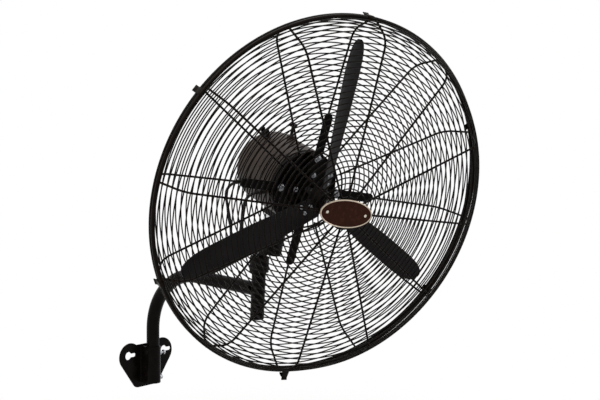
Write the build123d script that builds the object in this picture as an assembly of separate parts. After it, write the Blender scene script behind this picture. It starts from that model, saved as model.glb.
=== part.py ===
from build123d import *
from math import acos, asin, atan2, cos, degrees, hypot, pi, radians, sin, sqrt, tan
import os

# Wall mounted fan: a wire cage on a bent tube arm, with a head that swivels and tilts.
# Millimetres. The wall is the plane Y = 0, the fan reaches out along -Y, X runs to the
# right seen from the front and Z is up. The origin is on the wall between the keyholes.

# ---------------------------------------------------------------- driving dimensions
# general clearances
seam = 0.06                  # between pieces that are welded, pressed or seated together
screw_play = 0.15            # radial, round a screw
hinge_gap = 0.1              # radial, round a hinge pin or a running shaft
running_gap = 1.0            # between faces that pass each other
cut_past = 1.0               # a bore's cut runs this far past its end

# wall bracket
plate_thick = 4.0
plate_half_width = 82.0
lobe_radius = 32.0
lobe_above_socket = 10.0
lobe_dip = 6.5               # the middle of the top edge lies this much lower
plate_foot = -80.0
plate_foot_half = 42.0
plate_corner = 16.5
keyhole_pitch = 111.0
keyhole_round = 9.5
keyhole_slot = 4.5           # half width of the slot
keyhole_run = 22.5           # from the round opening's centre to the slot's end
socket_top = 19.5
socket_height = 87.5
socket_sheet = 2.4
socket_gap = 0.3
socket_floor_thick = 3.0
tube_from_wall = 27.0
clamp_drop = 58.5            # lower clamp screw below the upper one
clamp_shank = 3.0
clamp_flats = 10.0
clamp_nut_thick = 5.0
clamp_head_thick = 4.2
clamp_stand_off = 8.5        # the longer upper screw's head stands off its nut
tip_gap = 0.4

# arm and neck
tube_radius = 15.25
tube_wall = 2.0
arm_reach = 340.0            # socket axis to post axis
arm_bend = 140.0
arm_droop = 3.0              # degrees
arm_level = 190.0            # height of the run where it meets the post
post_below = 63.0
plug_rim = 2.6
plug_depth = 14.0
collar_start = 39.0          # above the run, along the post
collar_height = 33.0
collar_radius = 21.0
collar_gap = 0.1
collar_web = 5.0
collar_screw_radius = 4.0
collar_screw_head = 5.0
tongue_half = 8.0
tongue_radius = 14.0
tilt_up_post = 86.5          # tilt bolt above the run, along the post

# tilt yoke and swivel
tilt_rest = 16.0             # degrees nose down
pan_rest = -18.0             # degrees off centre
cheek_gap = 0.35
cheek_thick = 6.0
cheek_radius = 13.0
web_round = 6.0
web_reach = 24.0             # the cheeks' outline turns down ahead of the tilt bolt
web_drop = 18.0              # and below the housing's top
tilt_bolt_radius = 5.0
tilt_flats = 17.0
tilt_head_thick = 6.4
tilt_nut_thick = 8.0
pan_offset = 32.0            # swivel axis ahead of the tilt bolt
axis_height = 175.0          # fan axis above the tilt bolt
housing_radius = 22.0
housing_foot = 5.0
housing_height = 52.0
bush_radius = 11.0
swivel_radius = 8.0
swivel_nut_thick = 7.0
swivel_nut_flats = 22.0
pocket_radius = 14.0
pocket_depth = 12.0
flange_radius = 20.0
flange_thick = 6.0
column_radius = 17.0
cradle_half = 26.0
cradle_top = -68.0
saddle_depth = 9.0

# oscillation drive
swing = 40.0                 # degrees to each side
ear_reach = 38.0             # link pivot beside the swivel axis
ear_half = 7.0
ear_thick = 7.0
crank_behind = 42.0
crank_shaft_radius = 6.0
crank_boss_radius = 11.0
crank_pin = 3.0
crank_edge = 3.0
crank_thick = 4.0
crank_pin_drop = 4.0
open_pivot_gap = 0.6
link_half = 5.5
link_thick = 3.0
wheel_radius = 17.0
wheel_thick = 8.0
worm_radius = 6.0
worm_length = 26.0
mesh_gap = 0.5

# motor
rim_ahead = 152.0            # rim plane of the cage ahead of the swivel axis
drum_radius = 77.5
drum_wall = 3.0
drum_front = -60.0
drum_back = 104.0
drum_edge = 26.0
cover_radius = 76.0
cover_front = -68.0
nose_radius = 40.0
nose_length = 8.0
spigot_length = 5.0
spigot_wall = 6.0
cover_boss = 9.0
small_boss = 6.0
shaft_radius = 7.5
bearing_radius = 17.5
bearing_width = 11.0
bearing_seat = 5.0
stator_front = -50.0
stator_length = 34.0
stator_bore = 36.0
stator_gap = 0.3
winding_outer = 64.0
winding_depth = 8.0
winding_gap = 4.0
air_gap = 0.5
bulkhead_front = 2.0
bulkhead_thick = 5.0

# clutch knob and cable clip on the motor
knob_y = 23.0
knob_boss_radius = 9.0
knob_boss_height = 8.0
knob_stem_radius = 3.6
knob_gap = 0.35
knob_height = 34.0
knob_cap_radius = 8.5
knob_cap_thick = 7.0
clip_y = 64.0
clip_span = 12.0
clip_half = 5.0
clip_prong = 6.0
clip_web = 5.0
clip_height = 18.0
clip_turn = -27.0            # degrees round the motor

# cage
cage_turn = 2.4              # degrees, the cage sits turned on the motor
spokes = 12
rim_radius = 368.0
rim_wire = 4.0               # wire radii
spoke_wire = 2.1
ring_wire = 1.2
rim_half_gap = 5.1           # rim wires either side of the rim plane
shoulder_inset = 30.0        # the shoulder's corner, in from the rim
shoulder_depth = 57.5
shoulder_bend = 38.0
hub_depth = 75.4             # where the face's cone would meet the fan axis
ring_pitch = 11.15
ring_start = 12.0
front_ring_inner = 46.0
front_spoke_inner = 14.0
front_disc_radius = 34.0
front_disc_thick = 1.6
rear_ring_inner = 84.0
rear_spoke_inner = 79.0
rear_collar_radius = 81.0
rear_collar_wire = 1.9
outer_band = 48.0            # front rings this far inside the shoulder join the outer group

# spider that holds the cage on the motor
spider_reach = 162.0
spider_half = 9.5
spider_thick = 3.0
spider_centre = 26.0
spider_shaft_gap = 5.0
screw_circle = 68.0
screw_radius = 3.0
screw_head = 6.6
screw_head_thick = 3.4
screw_depth = 12.0
small_circle = 33.0
small_radius = 2.0
small_head = 4.6
small_head_thick = 2.6

# badge
badge_half_width = 60.5
badge_half_height = 28.5
badge_thick = 2.4
bezel_wide = 2.4
bezel_thick = 3.2
rivet_half_pitch = 45.0
rivet_radius = 3.2
rivet_height = 1.2
rivet_shank = 1.6
rivet_tail = 0.3

# rotor
blades = 3
sweep_radius = 325.0
blade_ahead = -4.0           # blade plane from the rim plane
blade_thick = 2.0
blade_half_width = 24.2      # seen from the front
blade_root = 26.0
blade_root_half = 16.2
blade_shift = -4.1           # the outline's middle, to the leading side of the blade's axis
blade_outline = ((0.963, 0.715), (0.892, 0.86), (0.708, 1.0), (0.492, 0.955),
                 (0.308, 0.806))   # share of the sweep, share of the half width
strip_spare = 1.5            # the strip a blade is cut from, as a share of the blade's width
root_pitch = 34.0            # degrees
tip_pitch = 19.0
twist_steps = 3
hub_radius = 18.0
hub_nose = 13.5              # the hub stands out this far in front of the blade plane
hub_length = 41.0
hub_arm_half = 11.0
hub_arm_thick = 5.0
arm_end = 72.0
bolt_first = 32.0            # blade bolts, out from the fan axis
bolt_second = 50.0
bolt_across = 6.5
blade_bolt_radius = 2.5
blade_bolt_head = 4.4
blade_bolt_height = 2.6
shaft_stub = 8.0

# latches
latches = 6
open_latch = 3
open_angle = 78.0            # degrees
latch_shift = -2.0           # degrees beside each second spoke
latch_half = 6.5
latch_eye_gap = 0.3
latch_wall = 1.3
latch_clear = 0.4
latch_hook = 32.0            # degrees that the hook turns in
latch_lip = 6.0
lip_drop = 3.0

# motor lead and its glands, beside the motor
lead_radius = 3.0
bend_share = 0.45            # of the shorter run at a corner, taken up by its bend
lead_exit = 14.0
gland_radius = 6.5
gland_length = 9.0
front_gland_angle = 255.0    # degrees about the fan axis from the top
front_gland_y = -44.0
rear_gland_angle = 250.0
rear_gland_y = 50.0
lead_route = ((-105, -43, -38), (-105, -40, -57), (-99, -34, -84), (-93, -25, -112),
              (-88, -14, -138), (-85, -6, -160), (-83, 2, -179), (-82, 13, -190),
              (-81, 27, -194), (-80, 40, -189), (-80, 48, -178), (-80, 51, -164),
              (-83, 52, -140), (-89, 53, -110), (-96, 53, -82), (-102, 52, -58),
              (-102, 50, -46))


# ---------------------------------------------------------------- helpers
def rod(start, end, radius):
    """Round bar between two points."""
    a, b = Vector(*start), Vector(*end)
    return Solid.make_cylinder(radius, (b - a).length, Plane(origin=a, z_dir=b - a))


def pipe(start, end, outer, inner):
    """Round bar with a bore along its whole length."""
    return rod(start, end, outer) - rod(start, end, inner)


def hexagon(start, end, flats):
    """Hexagon bar between two points, measured across its flats."""
    a, b = Vector(*start), Vector(*end)
    plane = Plane(origin=a, z_dir=b - a)
    return extrude(plane * RegularPolygon(flats / sqrt(3), 6), (b - a).length)


def block(x0, x1, y0, y1, z0, z1):
    """Box between two corners."""
    box = Box(x1 - x0, y1 - y0, z1 - z0)
    return Pos((x0 + x1) / 2, (y0 + y1) / 2, (z0 + z1) / 2) * box


def wire_ring(radius, wire, y):
    """Round wire bent to a ring about the fan axis."""
    return Solid.make_torus(radius, wire, Plane(origin=(0, y, 0), z_dir=(0, 1, 0)))


def around_axis(shape, angle):
    """Turn a head piece about the fan axis, clockwise seen from the front."""
    return Rot(0, angle, 0) * shape


def save(name, frame, *shapes):
    """Write one node in its frame: one solid, or a group of loose ones."""
    solids = []
    for shape in shapes:
        solids.extend((frame * shape).solids())
    result = solids[0] if len(solids) == 1 else Compound(solids)
    export_step(result, f"parts/{name}.step")
    print(f"{name}: {len(solids)} solid(s)")


os.makedirs("parts", exist_ok=True)

# ---------------------------------------------------------------- frames
# Each frame is placed from the one before it, from the wall out to the cage.
wall_frame = Location((0, 0, 0))
socket_axis_y = -tube_from_wall
post_frame = Location((0, socket_axis_y - arm_reach, arm_level), (arm_droop, 0, 0))
tilt_frame = post_frame * Pos(0, 0, tilt_up_post) * Rot(tilt_rest - arm_droop, 0, 0)
head_frame = tilt_frame * Pos(0, -pan_offset, axis_height) * Rot(0, 0, pan_rest)
cage_frame = head_frame * Rot(0, cage_turn, 0)


def ahead(distance):
    """Head Y of a plane that lies this far in front of the cage's rim plane."""
    return -(rim_ahead + distance)


# ---------------------------------------------------------------- wall bracket
lobe_x = plate_half_width - lobe_radius
lobe_top = socket_top + lobe_above_socket
lobe_z = lobe_top - lobe_radius
foot_x = plate_foot_half - plate_corner
foot_z = plate_foot + plate_corner

corners = [Pos(side * lobe_x, lobe_z) * Circle(lobe_radius) for side in (-1, 1)]
corners += [Pos(side * foot_x, foot_z) * Circle(plate_corner) for side in (-1, 1)]
shield = make_hull([edge for corner in corners for edge in corner.edges()])
dip = Pos(0, lobe_top - lobe_dip + lobe_radius) * Rectangle(2 * lobe_x, 2 * lobe_radius)
for corner in corners[:2]:
    dip -= corner
shield -= dip


def keyhole(centre_x):
    """Round opening with a slot that runs on to the right."""
    slot_end = centre_x + keyhole_run - keyhole_slot
    slot = Pos((centre_x + slot_end) / 2, 0) * Rectangle(slot_end - centre_x, 2 * keyhole_slot)
    return Pos(centre_x, 0) * Circle(keyhole_round) + slot + Pos(slot_end, 0) * Circle(keyhole_slot)


for side in (-1, 1):
    shield -= keyhole(side * keyhole_pitch / 2)
wall_plane = Plane(origin=(0, 0, 0), x_dir=(1, 0, 0), z_dir=(0, -1, 0))
wall_plate = extrude(wall_plane * shield, plate_thick)

socket_inner = tube_radius + socket_gap
socket_outer = socket_inner + socket_sheet
socket_foot = socket_top - socket_height
strip_front = socket_axis_y + socket_inner
floor_top = socket_foot + socket_floor_thick
clamp_heights = (0.0, -clamp_drop)
clamp_hole = clamp_shank + screw_play


def channel(half, y_back, z0, z1):
    """Bar with a round front about the socket's axis and a flat back."""
    bar = rod((0, socket_axis_y, z0), (0, socket_axis_y, z1), half)
    return bar + block(-half, half, socket_axis_y, y_back, z0, z1)


socket_channel = channel(socket_outer, -plate_thick, socket_foot, socket_top)
socket_channel -= channel(socket_inner, 0, socket_foot - cut_past, socket_top + cut_past)
for height in clamp_heights:
    socket_channel -= rod((0, socket_axis_y, height), (2 * socket_outer, socket_axis_y, height),
                          clamp_hole)
socket_strip = block(-socket_inner, socket_inner, strip_front, strip_front + socket_sheet,
                     socket_foot, socket_top)
socket_floor = channel(socket_inner - seam, strip_front, socket_foot, floor_top)

nut_outer = socket_outer + clamp_nut_thick
clamp_nuts = []
clamp_bolts = []
for height, stand_off in zip(clamp_heights, (clamp_stand_off, 0.0)):
    nut = hexagon((socket_outer, socket_axis_y, height), (nut_outer, socket_axis_y, height),
                  clamp_flats)
    clamp_nuts.append(nut - rod((0, socket_axis_y, height),
                                (2 * nut_outer, socket_axis_y, height), clamp_hole))
    tip = tube_radius + tip_gap
    seat = nut_outer + stand_off
    bolt = rod((tip, socket_axis_y, height), (seat, socket_axis_y, height), clamp_shank)
    clamp_bolts.append(bolt + hexagon((seat, socket_axis_y, height),
                                      (seat + clamp_head_thick, socket_axis_y, height),
                                      clamp_flats))

save("wall_plate", wall_frame, wall_plate)
save("socket_channel", wall_frame, socket_channel)
save("socket_back_strip", wall_frame, socket_strip)
save("socket_floor", wall_frame, socket_floor)
save("clamp_nuts", wall_frame, *clamp_nuts)
save("clamp_bolts", wall_frame, *clamp_bolts)

# ---------------------------------------------------------------- arm and post
tube_bore = tube_radius - tube_wall
arm_foot = floor_top + tip_gap
elbow = arm_level + arm_reach * tan(radians(arm_droop))
run_end = (0, socket_axis_y - arm_reach, arm_level)
arm_path = FilletPolyline((0, socket_axis_y, arm_foot), (0, socket_axis_y, elbow), run_end,
                          radius=arm_bend)
arm_section = Plane(origin=arm_path @ 0, z_dir=arm_path % 0) * (Circle(tube_radius) - Circle(tube_bore))
arm_tube = sweep(arm_section, path=arm_path)
post_core = post_frame * rod((0, 0, -post_below), (0, 0, post_below), tube_radius + seam)
arm_tube -= post_core

collar_top = collar_start + collar_height
collar_bore = tube_radius + collar_gap
post_top = collar_top - collar_web - tip_gap
post_tube = pipe((0, 0, -post_below), (0, 0, post_top), tube_radius, tube_bore)
post_plug = rod((0, 0, -post_below - plug_rim), (0, 0, -post_below), tube_radius)
post_plug += rod((0, 0, -post_below), (0, 0, -post_below + plug_depth), tube_bore - seam)

collar_screw_z = collar_start + collar_height / 2
neck_collar = rod((0, 0, collar_start), (0, 0, collar_top), collar_radius)
neck_collar -= rod((0, 0, collar_start - cut_past), (0, 0, collar_top - collar_web), collar_bore)
neck_collar += block(-tongue_half, tongue_half, -tongue_radius, tongue_radius,
                     collar_top - collar_web / 2, tilt_up_post)
neck_collar += rod((-tongue_half, 0, tilt_up_post), (tongue_half, 0, tilt_up_post), tongue_radius)
neck_collar -= rod((-tongue_half, 0, tilt_up_post), (tongue_half, 0, tilt_up_post),
                   tilt_bolt_radius + hinge_gap)
neck_collar -= rod((0, 0, collar_screw_z), (2 * collar_radius, 0, collar_screw_z),
                   collar_screw_radius + screw_play)
collar_screw = rod((tube_radius + seam, 0, collar_screw_z), (collar_radius + seam, 0, collar_screw_z),
                   collar_screw_radius)
collar_screw += hexagon((collar_radius + seam, 0, collar_screw_z),
                        (collar_radius + collar_screw_head, 0, collar_screw_z), clamp_flats)

save("arm_tube", wall_frame, arm_tube)
save("post_tube", post_frame, post_tube)
save("post_plug", post_frame, post_plug)
save("neck_collar", post_frame, neck_collar)
save("collar_screw", post_frame, collar_screw)

# ---------------------------------------------------------------- tilt yoke and swivel
# The tilt frame sits on the tilt bolt, with the swivel's axis ahead of it.
pan_y = -pan_offset
housing_top = housing_foot + housing_height
link_floor = housing_top + seam
cheek_inner = tongue_half + cheek_gap
cheek_outer = cheek_inner + cheek_thick

# Crank and link: the two ends of the swing give the throw and the link's length.
crank_x = worm_radius + wheel_radius + mesh_gap
crank_reach = hypot(crank_x, crank_behind)
crank_bearing = degrees(atan2(crank_behind, crank_x))


def pivot_distance(turn):
    """Distance from the ear to the crank's axis with the head turned by this angle."""
    between = radians(crank_bearing + turn)
    return sqrt(ear_reach ** 2 + crank_reach ** 2 - 2 * ear_reach * crank_reach * cos(between))


longest = pivot_distance(swing)
shortest = pivot_distance(-swing)
crank_throw = (longest - shortest) / 2
link_length = (longest + shortest) / 2

yoke = rod((0, pan_y, housing_foot), (0, pan_y, housing_top), housing_radius)
cheek_outline = make_hull((Circle(cheek_radius).edges()
                           + (Pos(-web_reach, housing_top - web_drop) * Circle(web_round)).edges()
                           + (Pos(pan_y, housing_foot + web_round) * Circle(web_round)).edges()))
for side in (-1, 1):
    start_x = min(side * cheek_inner, side * cheek_outer)
    cheek_plane = Plane(origin=(start_x, 0, 0), x_dir=(0, 1, 0), z_dir=(1, 0, 0))
    yoke += extrude(cheek_plane * cheek_outline, cheek_thick)
ear_plane_z = housing_top - ear_thick
yoke += block(0, ear_reach, pan_y - ear_half, pan_y + ear_half, ear_plane_z, housing_top)
yoke += rod((ear_reach, pan_y, ear_plane_z), (ear_reach, pan_y, housing_top), ear_half)
yoke += rod((ear_reach, pan_y, ear_plane_z), (ear_reach, pan_y, link_floor + link_thick), crank_pin)
yoke -= rod((-cheek_inner, 0, 0), (cheek_inner, 0, 0), tongue_radius + running_gap)
yoke -= rod((0, pan_y, housing_foot), (0, pan_y, housing_top), bush_radius + seam)
yoke -= rod((0, pan_y, housing_foot), (0, pan_y, housing_foot + pocket_depth), pocket_radius)
yoke -= rod((-cheek_outer, 0, 0), (cheek_outer, 0, 0), tilt_bolt_radius + seam)

tilt_bolt = rod((-cheek_outer, 0, 0), (cheek_outer + tilt_nut_thick, 0, 0), tilt_bolt_radius)
tilt_bolt += hexagon((-cheek_outer - tilt_head_thick, 0, 0), (-cheek_outer, 0, 0), tilt_flats)
tilt_nut = hexagon((cheek_outer, 0, 0), (cheek_outer + tilt_nut_thick, 0, 0), tilt_flats)
tilt_nut -= rod((0, 0, 0), (2 * cheek_outer, 0, 0), tilt_bolt_radius + seam)

shaft_bore = swivel_radius + hinge_gap
swivel_bush = pipe((0, pan_y, housing_foot + pocket_depth), (0, pan_y, housing_top),
                   bush_radius, shaft_bore)
thrust_washer = pipe((0, pan_y, housing_top), (0, pan_y, housing_top + running_gap - seam),
                     flange_radius, shaft_bore)

save("tilt_yoke", tilt_frame, yoke)
save("tilt_bolt", tilt_frame, tilt_bolt)
save("tilt_nut", tilt_frame, tilt_nut)
save("swivel_bush", tilt_frame, swivel_bush)
save("thrust_washer", tilt_frame, thrust_washer)

# ---------------------------------------------------------------- saddle under the motor
# The head frame lies on the fan axis, above the swivel, with the front along -Y.
flange_z = housing_top + running_gap - axis_height
pocket_roof = housing_foot + pocket_depth - axis_height
saddle_foot = -drum_radius - saddle_depth

saddle = rod((0, 0, flange_z), (0, 0, flange_z + flange_thick), flange_radius)
saddle += rod((0, 0, flange_z), (0, 0, -drum_radius), column_radius)
cradle = block(-cradle_half, cradle_half, -cradle_half, cradle_half, saddle_foot, cradle_top)
saddle += cradle - rod((0, drum_front, 0), (0, drum_back, 0), drum_radius)
saddle -= rod((0, drum_front, 0), (0, drum_back, 0), drum_radius + seam)
swivel_end = pocket_roof - running_gap - swivel_nut_thick
saddle += rod((0, 0, swivel_end), (0, 0, flange_z + flange_thick), swivel_radius)
swivel_nut = hexagon((0, 0, swivel_end), (0, 0, swivel_end + swivel_nut_thick), swivel_nut_flats)
swivel_nut -= rod((0, 0, swivel_end), (0, 0, swivel_end + swivel_nut_thick), swivel_radius + seam)

save("saddle", head_frame, saddle)
save("swivel_nut", head_frame, swivel_nut)

# ---------------------------------------------------------------- motor
drum_bore = drum_radius - drum_wall
drum = rod((0, drum_front, 0), (0, drum_back, 0), drum_radius)
drum = fillet(drum.edges().filter_by(GeomType.CIRCLE).sort_by(Axis.Y)[-1], drum_edge)
hollow = rod((0, drum_front, 0), (0, drum_back - drum_wall, 0), drum_bore)
hollow = fillet(hollow.edges().filter_by(GeomType.CIRCLE).sort_by(Axis.Y)[-1], drum_edge - drum_wall)

disc_floor = link_floor + link_thick + open_pivot_gap + crank_pin_drop - axis_height
disc_top = disc_floor + crank_thick
boss_foot = disc_top + running_gap
wheel_foot = -wheel_thick / 2
crank_bore = crank_shaft_radius + hinge_gap
knob_boss_top = drum_radius + knob_boss_height

crank_boss = rod((crank_x, crank_behind, boss_foot),
                 (crank_x, crank_behind, wheel_foot - running_gap), crank_boss_radius)
shell = drum - hollow
shell += crank_boss
shell += rod((0, knob_y, drum_bore), (0, knob_y, knob_boss_top), knob_boss_radius)
shell -= rod((crank_x, crank_behind, boss_foot), (crank_x, crank_behind, wheel_foot), crank_bore)
shell -= rod((0, knob_y, 0), (0, knob_y, knob_boss_top), knob_stem_radius + knob_gap)

cap_top = drum_radius + knob_height
knob_cap = rod((0, knob_y, cap_top - knob_cap_thick), (0, knob_y, cap_top), knob_cap_radius)
knob_cap = fillet(knob_cap.edges().filter_by(GeomType.CIRCLE).sort_by(Axis.Z)[-1], knob_cap_thick / 2)
clutch_knob = knob_cap + rod((0, knob_y, drum_bore), (0, knob_y, cap_top - knob_cap_thick),
                             knob_stem_radius)

clip_top = drum_radius + clip_height
clip = block(-clip_half, clip_half, clip_y - clip_span, clip_y + clip_span,
             drum_radius - drum_edge / 2, clip_top)
clip -= block(-2 * clip_half, 2 * clip_half, clip_y - clip_span + clip_prong,
              clip_y + clip_span - clip_prong, drum_radius + clip_web, 2 * clip_top)
clip -= drum
clip = around_axis(clip.solids().sort_by(Axis.Z)[-1], clip_turn)

stator_back = stator_front + stator_length
stator = pipe((0, stator_front, 0), (0, stator_back, 0), drum_bore - stator_gap, stator_bore)
windings = [pipe((0, stator_front - winding_depth, 0), (0, stator_front, 0),
                 winding_outer, stator_bore + winding_gap),
            pipe((0, stator_back, 0), (0, stator_back + winding_depth, 0),
                 winding_outer, stator_bore + winding_gap)]

bearing_hole = bearing_radius + seam
front_bearing = drum_front - bearing_width / 2
rear_bearing = bulkhead_front + bulkhead_thick
bearings = [pipe((0, start, 0), (0, start + bearing_width, 0), bearing_radius,
                 shaft_radius + hinge_gap) for start in (front_bearing, rear_bearing)]
bulkhead = rod((0, bulkhead_front, 0), (0, rear_bearing, 0), drum_bore - seam)
bulkhead += rod((0, rear_bearing, 0), (0, rear_bearing + bearing_width, 0),
                bearing_radius + bearing_seat)
bulkhead -= rod((0, rear_bearing, 0), (0, rear_bearing + bearing_width, 0), bearing_hole)
bulkhead -= rod((0, bulkhead_front, 0), (0, rear_bearing, 0), shaft_radius + running_gap)

save("motor_shell", head_frame, shell)
save("motor_clip", head_frame, clip)
save("stator", head_frame, stator)
save("windings", head_frame, *windings)
save("bearings", head_frame, *bearings)
save("bulkhead", head_frame, bulkhead)
save("clutch_knob", head_frame, clutch_knob)

# ---------------------------------------------------------------- cage profile
shoulder_radius = rim_radius - shoulder_inset


def cone_depth(radius):
    """Distance from the rim plane to a spoke's centre line on the cage's face."""
    return hub_depth - (hub_depth - shoulder_depth) * radius / shoulder_radius


def spoke_line(side, inner, outer_gap):
    """Centre line of the top spoke from the rim in to a radius: side is 1 in front, -1 behind."""
    rim = Vector(0, ahead(side * rim_half_gap), rim_radius)
    shoulder = Vector(0, ahead(side * shoulder_depth), shoulder_radius)
    start = rim + (shoulder - rim).normalized() * outer_gap
    end = Vector(0, ahead(side * cone_depth(inner)), inner)
    return FilletPolyline(start, shoulder, end, radius=shoulder_bend)


def spoke_set(side, inner):
    """Spokes of one cage half, each butted against the rim."""
    line = spoke_line(side, inner, rim_wire + seam)
    section = Plane(origin=line @ 0, z_dir=line % 0) * Circle(spoke_wire)
    spoke = sweep(section, path=line)
    return [around_axis(spoke, turn * 360 / spokes) for turn in range(spokes)]


def ring_set(side, inner, outer_from):
    """Rings of one cage half, outside the spokes: the outer ones and the inner ones."""
    line = spoke_line(side, inner, 0)
    offset = spoke_wire + seam + ring_wire
    outer_rings = []
    inner_rings = []
    for step in range(int((line.length - ring_start) / ring_pitch) + 1):
        travel = (ring_start + step * ring_pitch) / line.length
        point, tangent = line @ travel, line % travel
        normal = Vector(0, -side * abs(tangent.Z), abs(tangent.Y))
        centre = point + normal * offset
        ring = wire_ring(centre.Z, ring_wire, centre.Y)
        group = outer_rings if centre.Z > outer_from else inner_rings
        group.append(ring)
    return outer_rings, inner_rings


front_outer_rings, front_inner_rings = ring_set(1, front_ring_inner, shoulder_radius - outer_band)
rear_outer_rings, rear_inner_rings = ring_set(-1, rear_ring_inner, shoulder_radius)

save("front_rim", cage_frame, wire_ring(rim_radius, rim_wire, ahead(rim_half_gap)))
save("front_spokes", cage_frame, *spoke_set(1, front_spoke_inner))
save("front_outer_rings", cage_frame, *front_outer_rings)
save("front_inner_rings", cage_frame, *front_inner_rings)
save("rear_rim", cage_frame, wire_ring(rim_radius, rim_wire, ahead(-rim_half_gap)))
save("rear_spokes", cage_frame, *spoke_set(-1, rear_spoke_inner))
save("rear_outer_rings", cage_frame, *rear_outer_rings)
save("rear_inner_rings", cage_frame, *rear_inner_rings)

# ---------------------------------------------------------------- spider and motor cover
spider_back = ahead(-cone_depth(spider_reach)) - spoke_wire - seam
spider_front = spider_back - spider_thick
collar_y = ahead(-cone_depth(rear_collar_radius)) - spoke_wire - seam - rear_collar_wire
rear_collar = wire_ring(rear_collar_radius, rear_collar_wire, collar_y)

bar = block(-spider_half, spider_half, spider_front, spider_back, 0, spider_reach - spider_half)
bar += rod((0, spider_back, spider_reach - spider_half), (0, spider_front, spider_reach - spider_half),
           spider_half)
spider = rod((0, spider_back, 0), (0, spider_front, 0), spider_centre)
for quarter in range(4):
    spider += around_axis(bar, quarter * 90)
spider -= rod((0, spider_back, 0), (0, spider_front, 0), shaft_radius + spider_shaft_gap)

nose_front = cover_front - nose_length
cover = rod((0, cover_front, 0), (0, drum_front, 0), cover_radius)
cover += pipe((0, drum_front, 0), (0, drum_front + spigot_length, 0), drum_bore - seam,
              drum_bore - spigot_wall)
cover += rod((0, nose_front, 0), (0, cover_front, 0), nose_radius)
cover += rod((0, drum_front, 0), (0, front_bearing + bearing_width, 0), bearing_radius + bearing_seat)
large_screws = []
small_screws = []
for quarter in range(4):
    turn = quarter * 90
    for circle, shank, head, head_thick, boss, root, found in (
            (screw_circle, screw_radius, screw_head, screw_head_thick, cover_boss, cover_front,
             large_screws),
            (small_circle, small_radius, small_head, small_head_thick, small_boss, nose_front,
             small_screws)):
        cover += around_axis(rod((0, spider_back, circle), (0, root, circle), boss), turn)
        hole = rod((0, spider_front, circle), (0, spider_back + screw_depth, circle),
                   shank + screw_play)
        cover -= around_axis(hole, turn)
        spider -= around_axis(hole, turn)
        screw = rod((0, spider_front, circle), (0, spider_back + screw_depth - seam, circle), shank)
        screw += rod((0, spider_front - head_thick, circle), (0, spider_front, circle), head)
        found.append(around_axis(screw, turn))
cover -= rod((0, front_bearing, 0), (0, front_bearing + bearing_width, 0), bearing_hole)
cover -= rod((0, nose_front, 0), (0, front_bearing, 0), shaft_radius + running_gap)

save("rear_collar", cage_frame, rear_collar)
save("spider", cage_frame, spider)
save("front_cover", cage_frame, cover)
save("spider_screws", cage_frame, *large_screws)
save("centre_screws", cage_frame, *small_screws)

# ---------------------------------------------------------------- badge
disc_back = ahead(hub_depth + spoke_wire + seam)
disc_front = disc_back - front_disc_thick
badge_front = disc_front - badge_thick
front_disc = rod((0, disc_back, 0), (0, disc_front, 0), front_disc_radius)
badge_plane = Plane(origin=(0, disc_front, 0), x_dir=(1, 0, 0), z_dir=(0, -1, 0))
plate_a = badge_half_width - bezel_wide
plate_b = badge_half_height - bezel_wide
badge_face = Ellipse(plate_a - seam, plate_b - seam)
bezel_face = Ellipse(badge_half_width, badge_half_height) - Ellipse(plate_a, plate_b)
badge_plate = extrude(badge_plane * badge_face, badge_thick)
badge_bezel = extrude(badge_plane * bezel_face, bezel_thick)
badge_rivets = []
for side in (-1, 1):
    rivet_x = side * rivet_half_pitch
    badge_plate -= rod((rivet_x, disc_front, 0), (rivet_x, badge_front, 0), rivet_shank + seam)
    rivet = rod((rivet_x, disc_front + rivet_tail, 0), (rivet_x, badge_front, 0), rivet_shank)
    rivet += rod((rivet_x, badge_front, 0), (rivet_x, badge_front - rivet_height, 0), rivet_radius)
    badge_rivets.append(rivet)

save("front_disc", cage_frame, front_disc)
save("badge_plate", cage_frame, badge_plate)
save("badge_bezel", cage_frame, badge_bezel)
save("badge_rivets", cage_frame, *badge_rivets)

# ---------------------------------------------------------------- rotor
blade_y = ahead(blade_ahead)
hub_front = blade_y - hub_nose
shaft_front = hub_front - shaft_stub
worm_back = crank_behind + worm_length / 2
motor_shaft = rod((0, shaft_front, 0), (0, worm_back, 0), shaft_radius)
motor_shaft -= pipe((0, crank_behind - worm_length / 2, 0), (0, worm_back, 0),
                    2 * shaft_radius, worm_radius)
rotor_core = pipe((0, stator_front, 0), (0, stator_back, 0), stator_bore - air_gap,
                  shaft_radius + seam)


def pitched(shape, angle):
    """Set a blade piece to its pitch about the blade's own radial axis."""
    return Pos(0, blade_y, 0) * Rot(0, 0, angle) * shape


strip_half = blade_half_width * strip_spare
strip_flat = block(-strip_half, strip_half, -blade_thick / 2, blade_thick / 2, blade_root, arm_end)
sections = []
for step in range(twist_steps + 1):
    share = step / twist_steps
    station = Pos(0, 0, arm_end + share * (sweep_radius + blade_thick - arm_end))
    section = station * Rectangle(2 * strip_half, blade_thick)
    sections.append(pitched(section, root_pitch + share * (tip_pitch - root_pitch)))
blade_strip = pitched(strip_flat, root_pitch) + loft(sections)

half_outline = [(0, sweep_radius)]
half_outline += [(blade_half_width * wide, sweep_radius * far) for far, wide in blade_outline]
half_outline.append((blade_root_half, blade_root))
right_edge = Spline(*half_outline, tangents=((1, 0), (0, -1)))
left_edge = mirror(right_edge, about=Plane.YZ)
root_edge = Line(right_edge @ 1, left_edge @ 1)
blade_plan = Pos(blade_shift, 0) * make_face(Curve() + [right_edge, left_edge, root_edge])
plan_plane = Plane(origin=(0, blade_y + strip_half, 0), x_dir=(1, 0, 0), z_dir=(0, -1, 0))
blade = blade_strip & extrude(plan_plane * blade_plan, 2 * strip_half)

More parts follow.
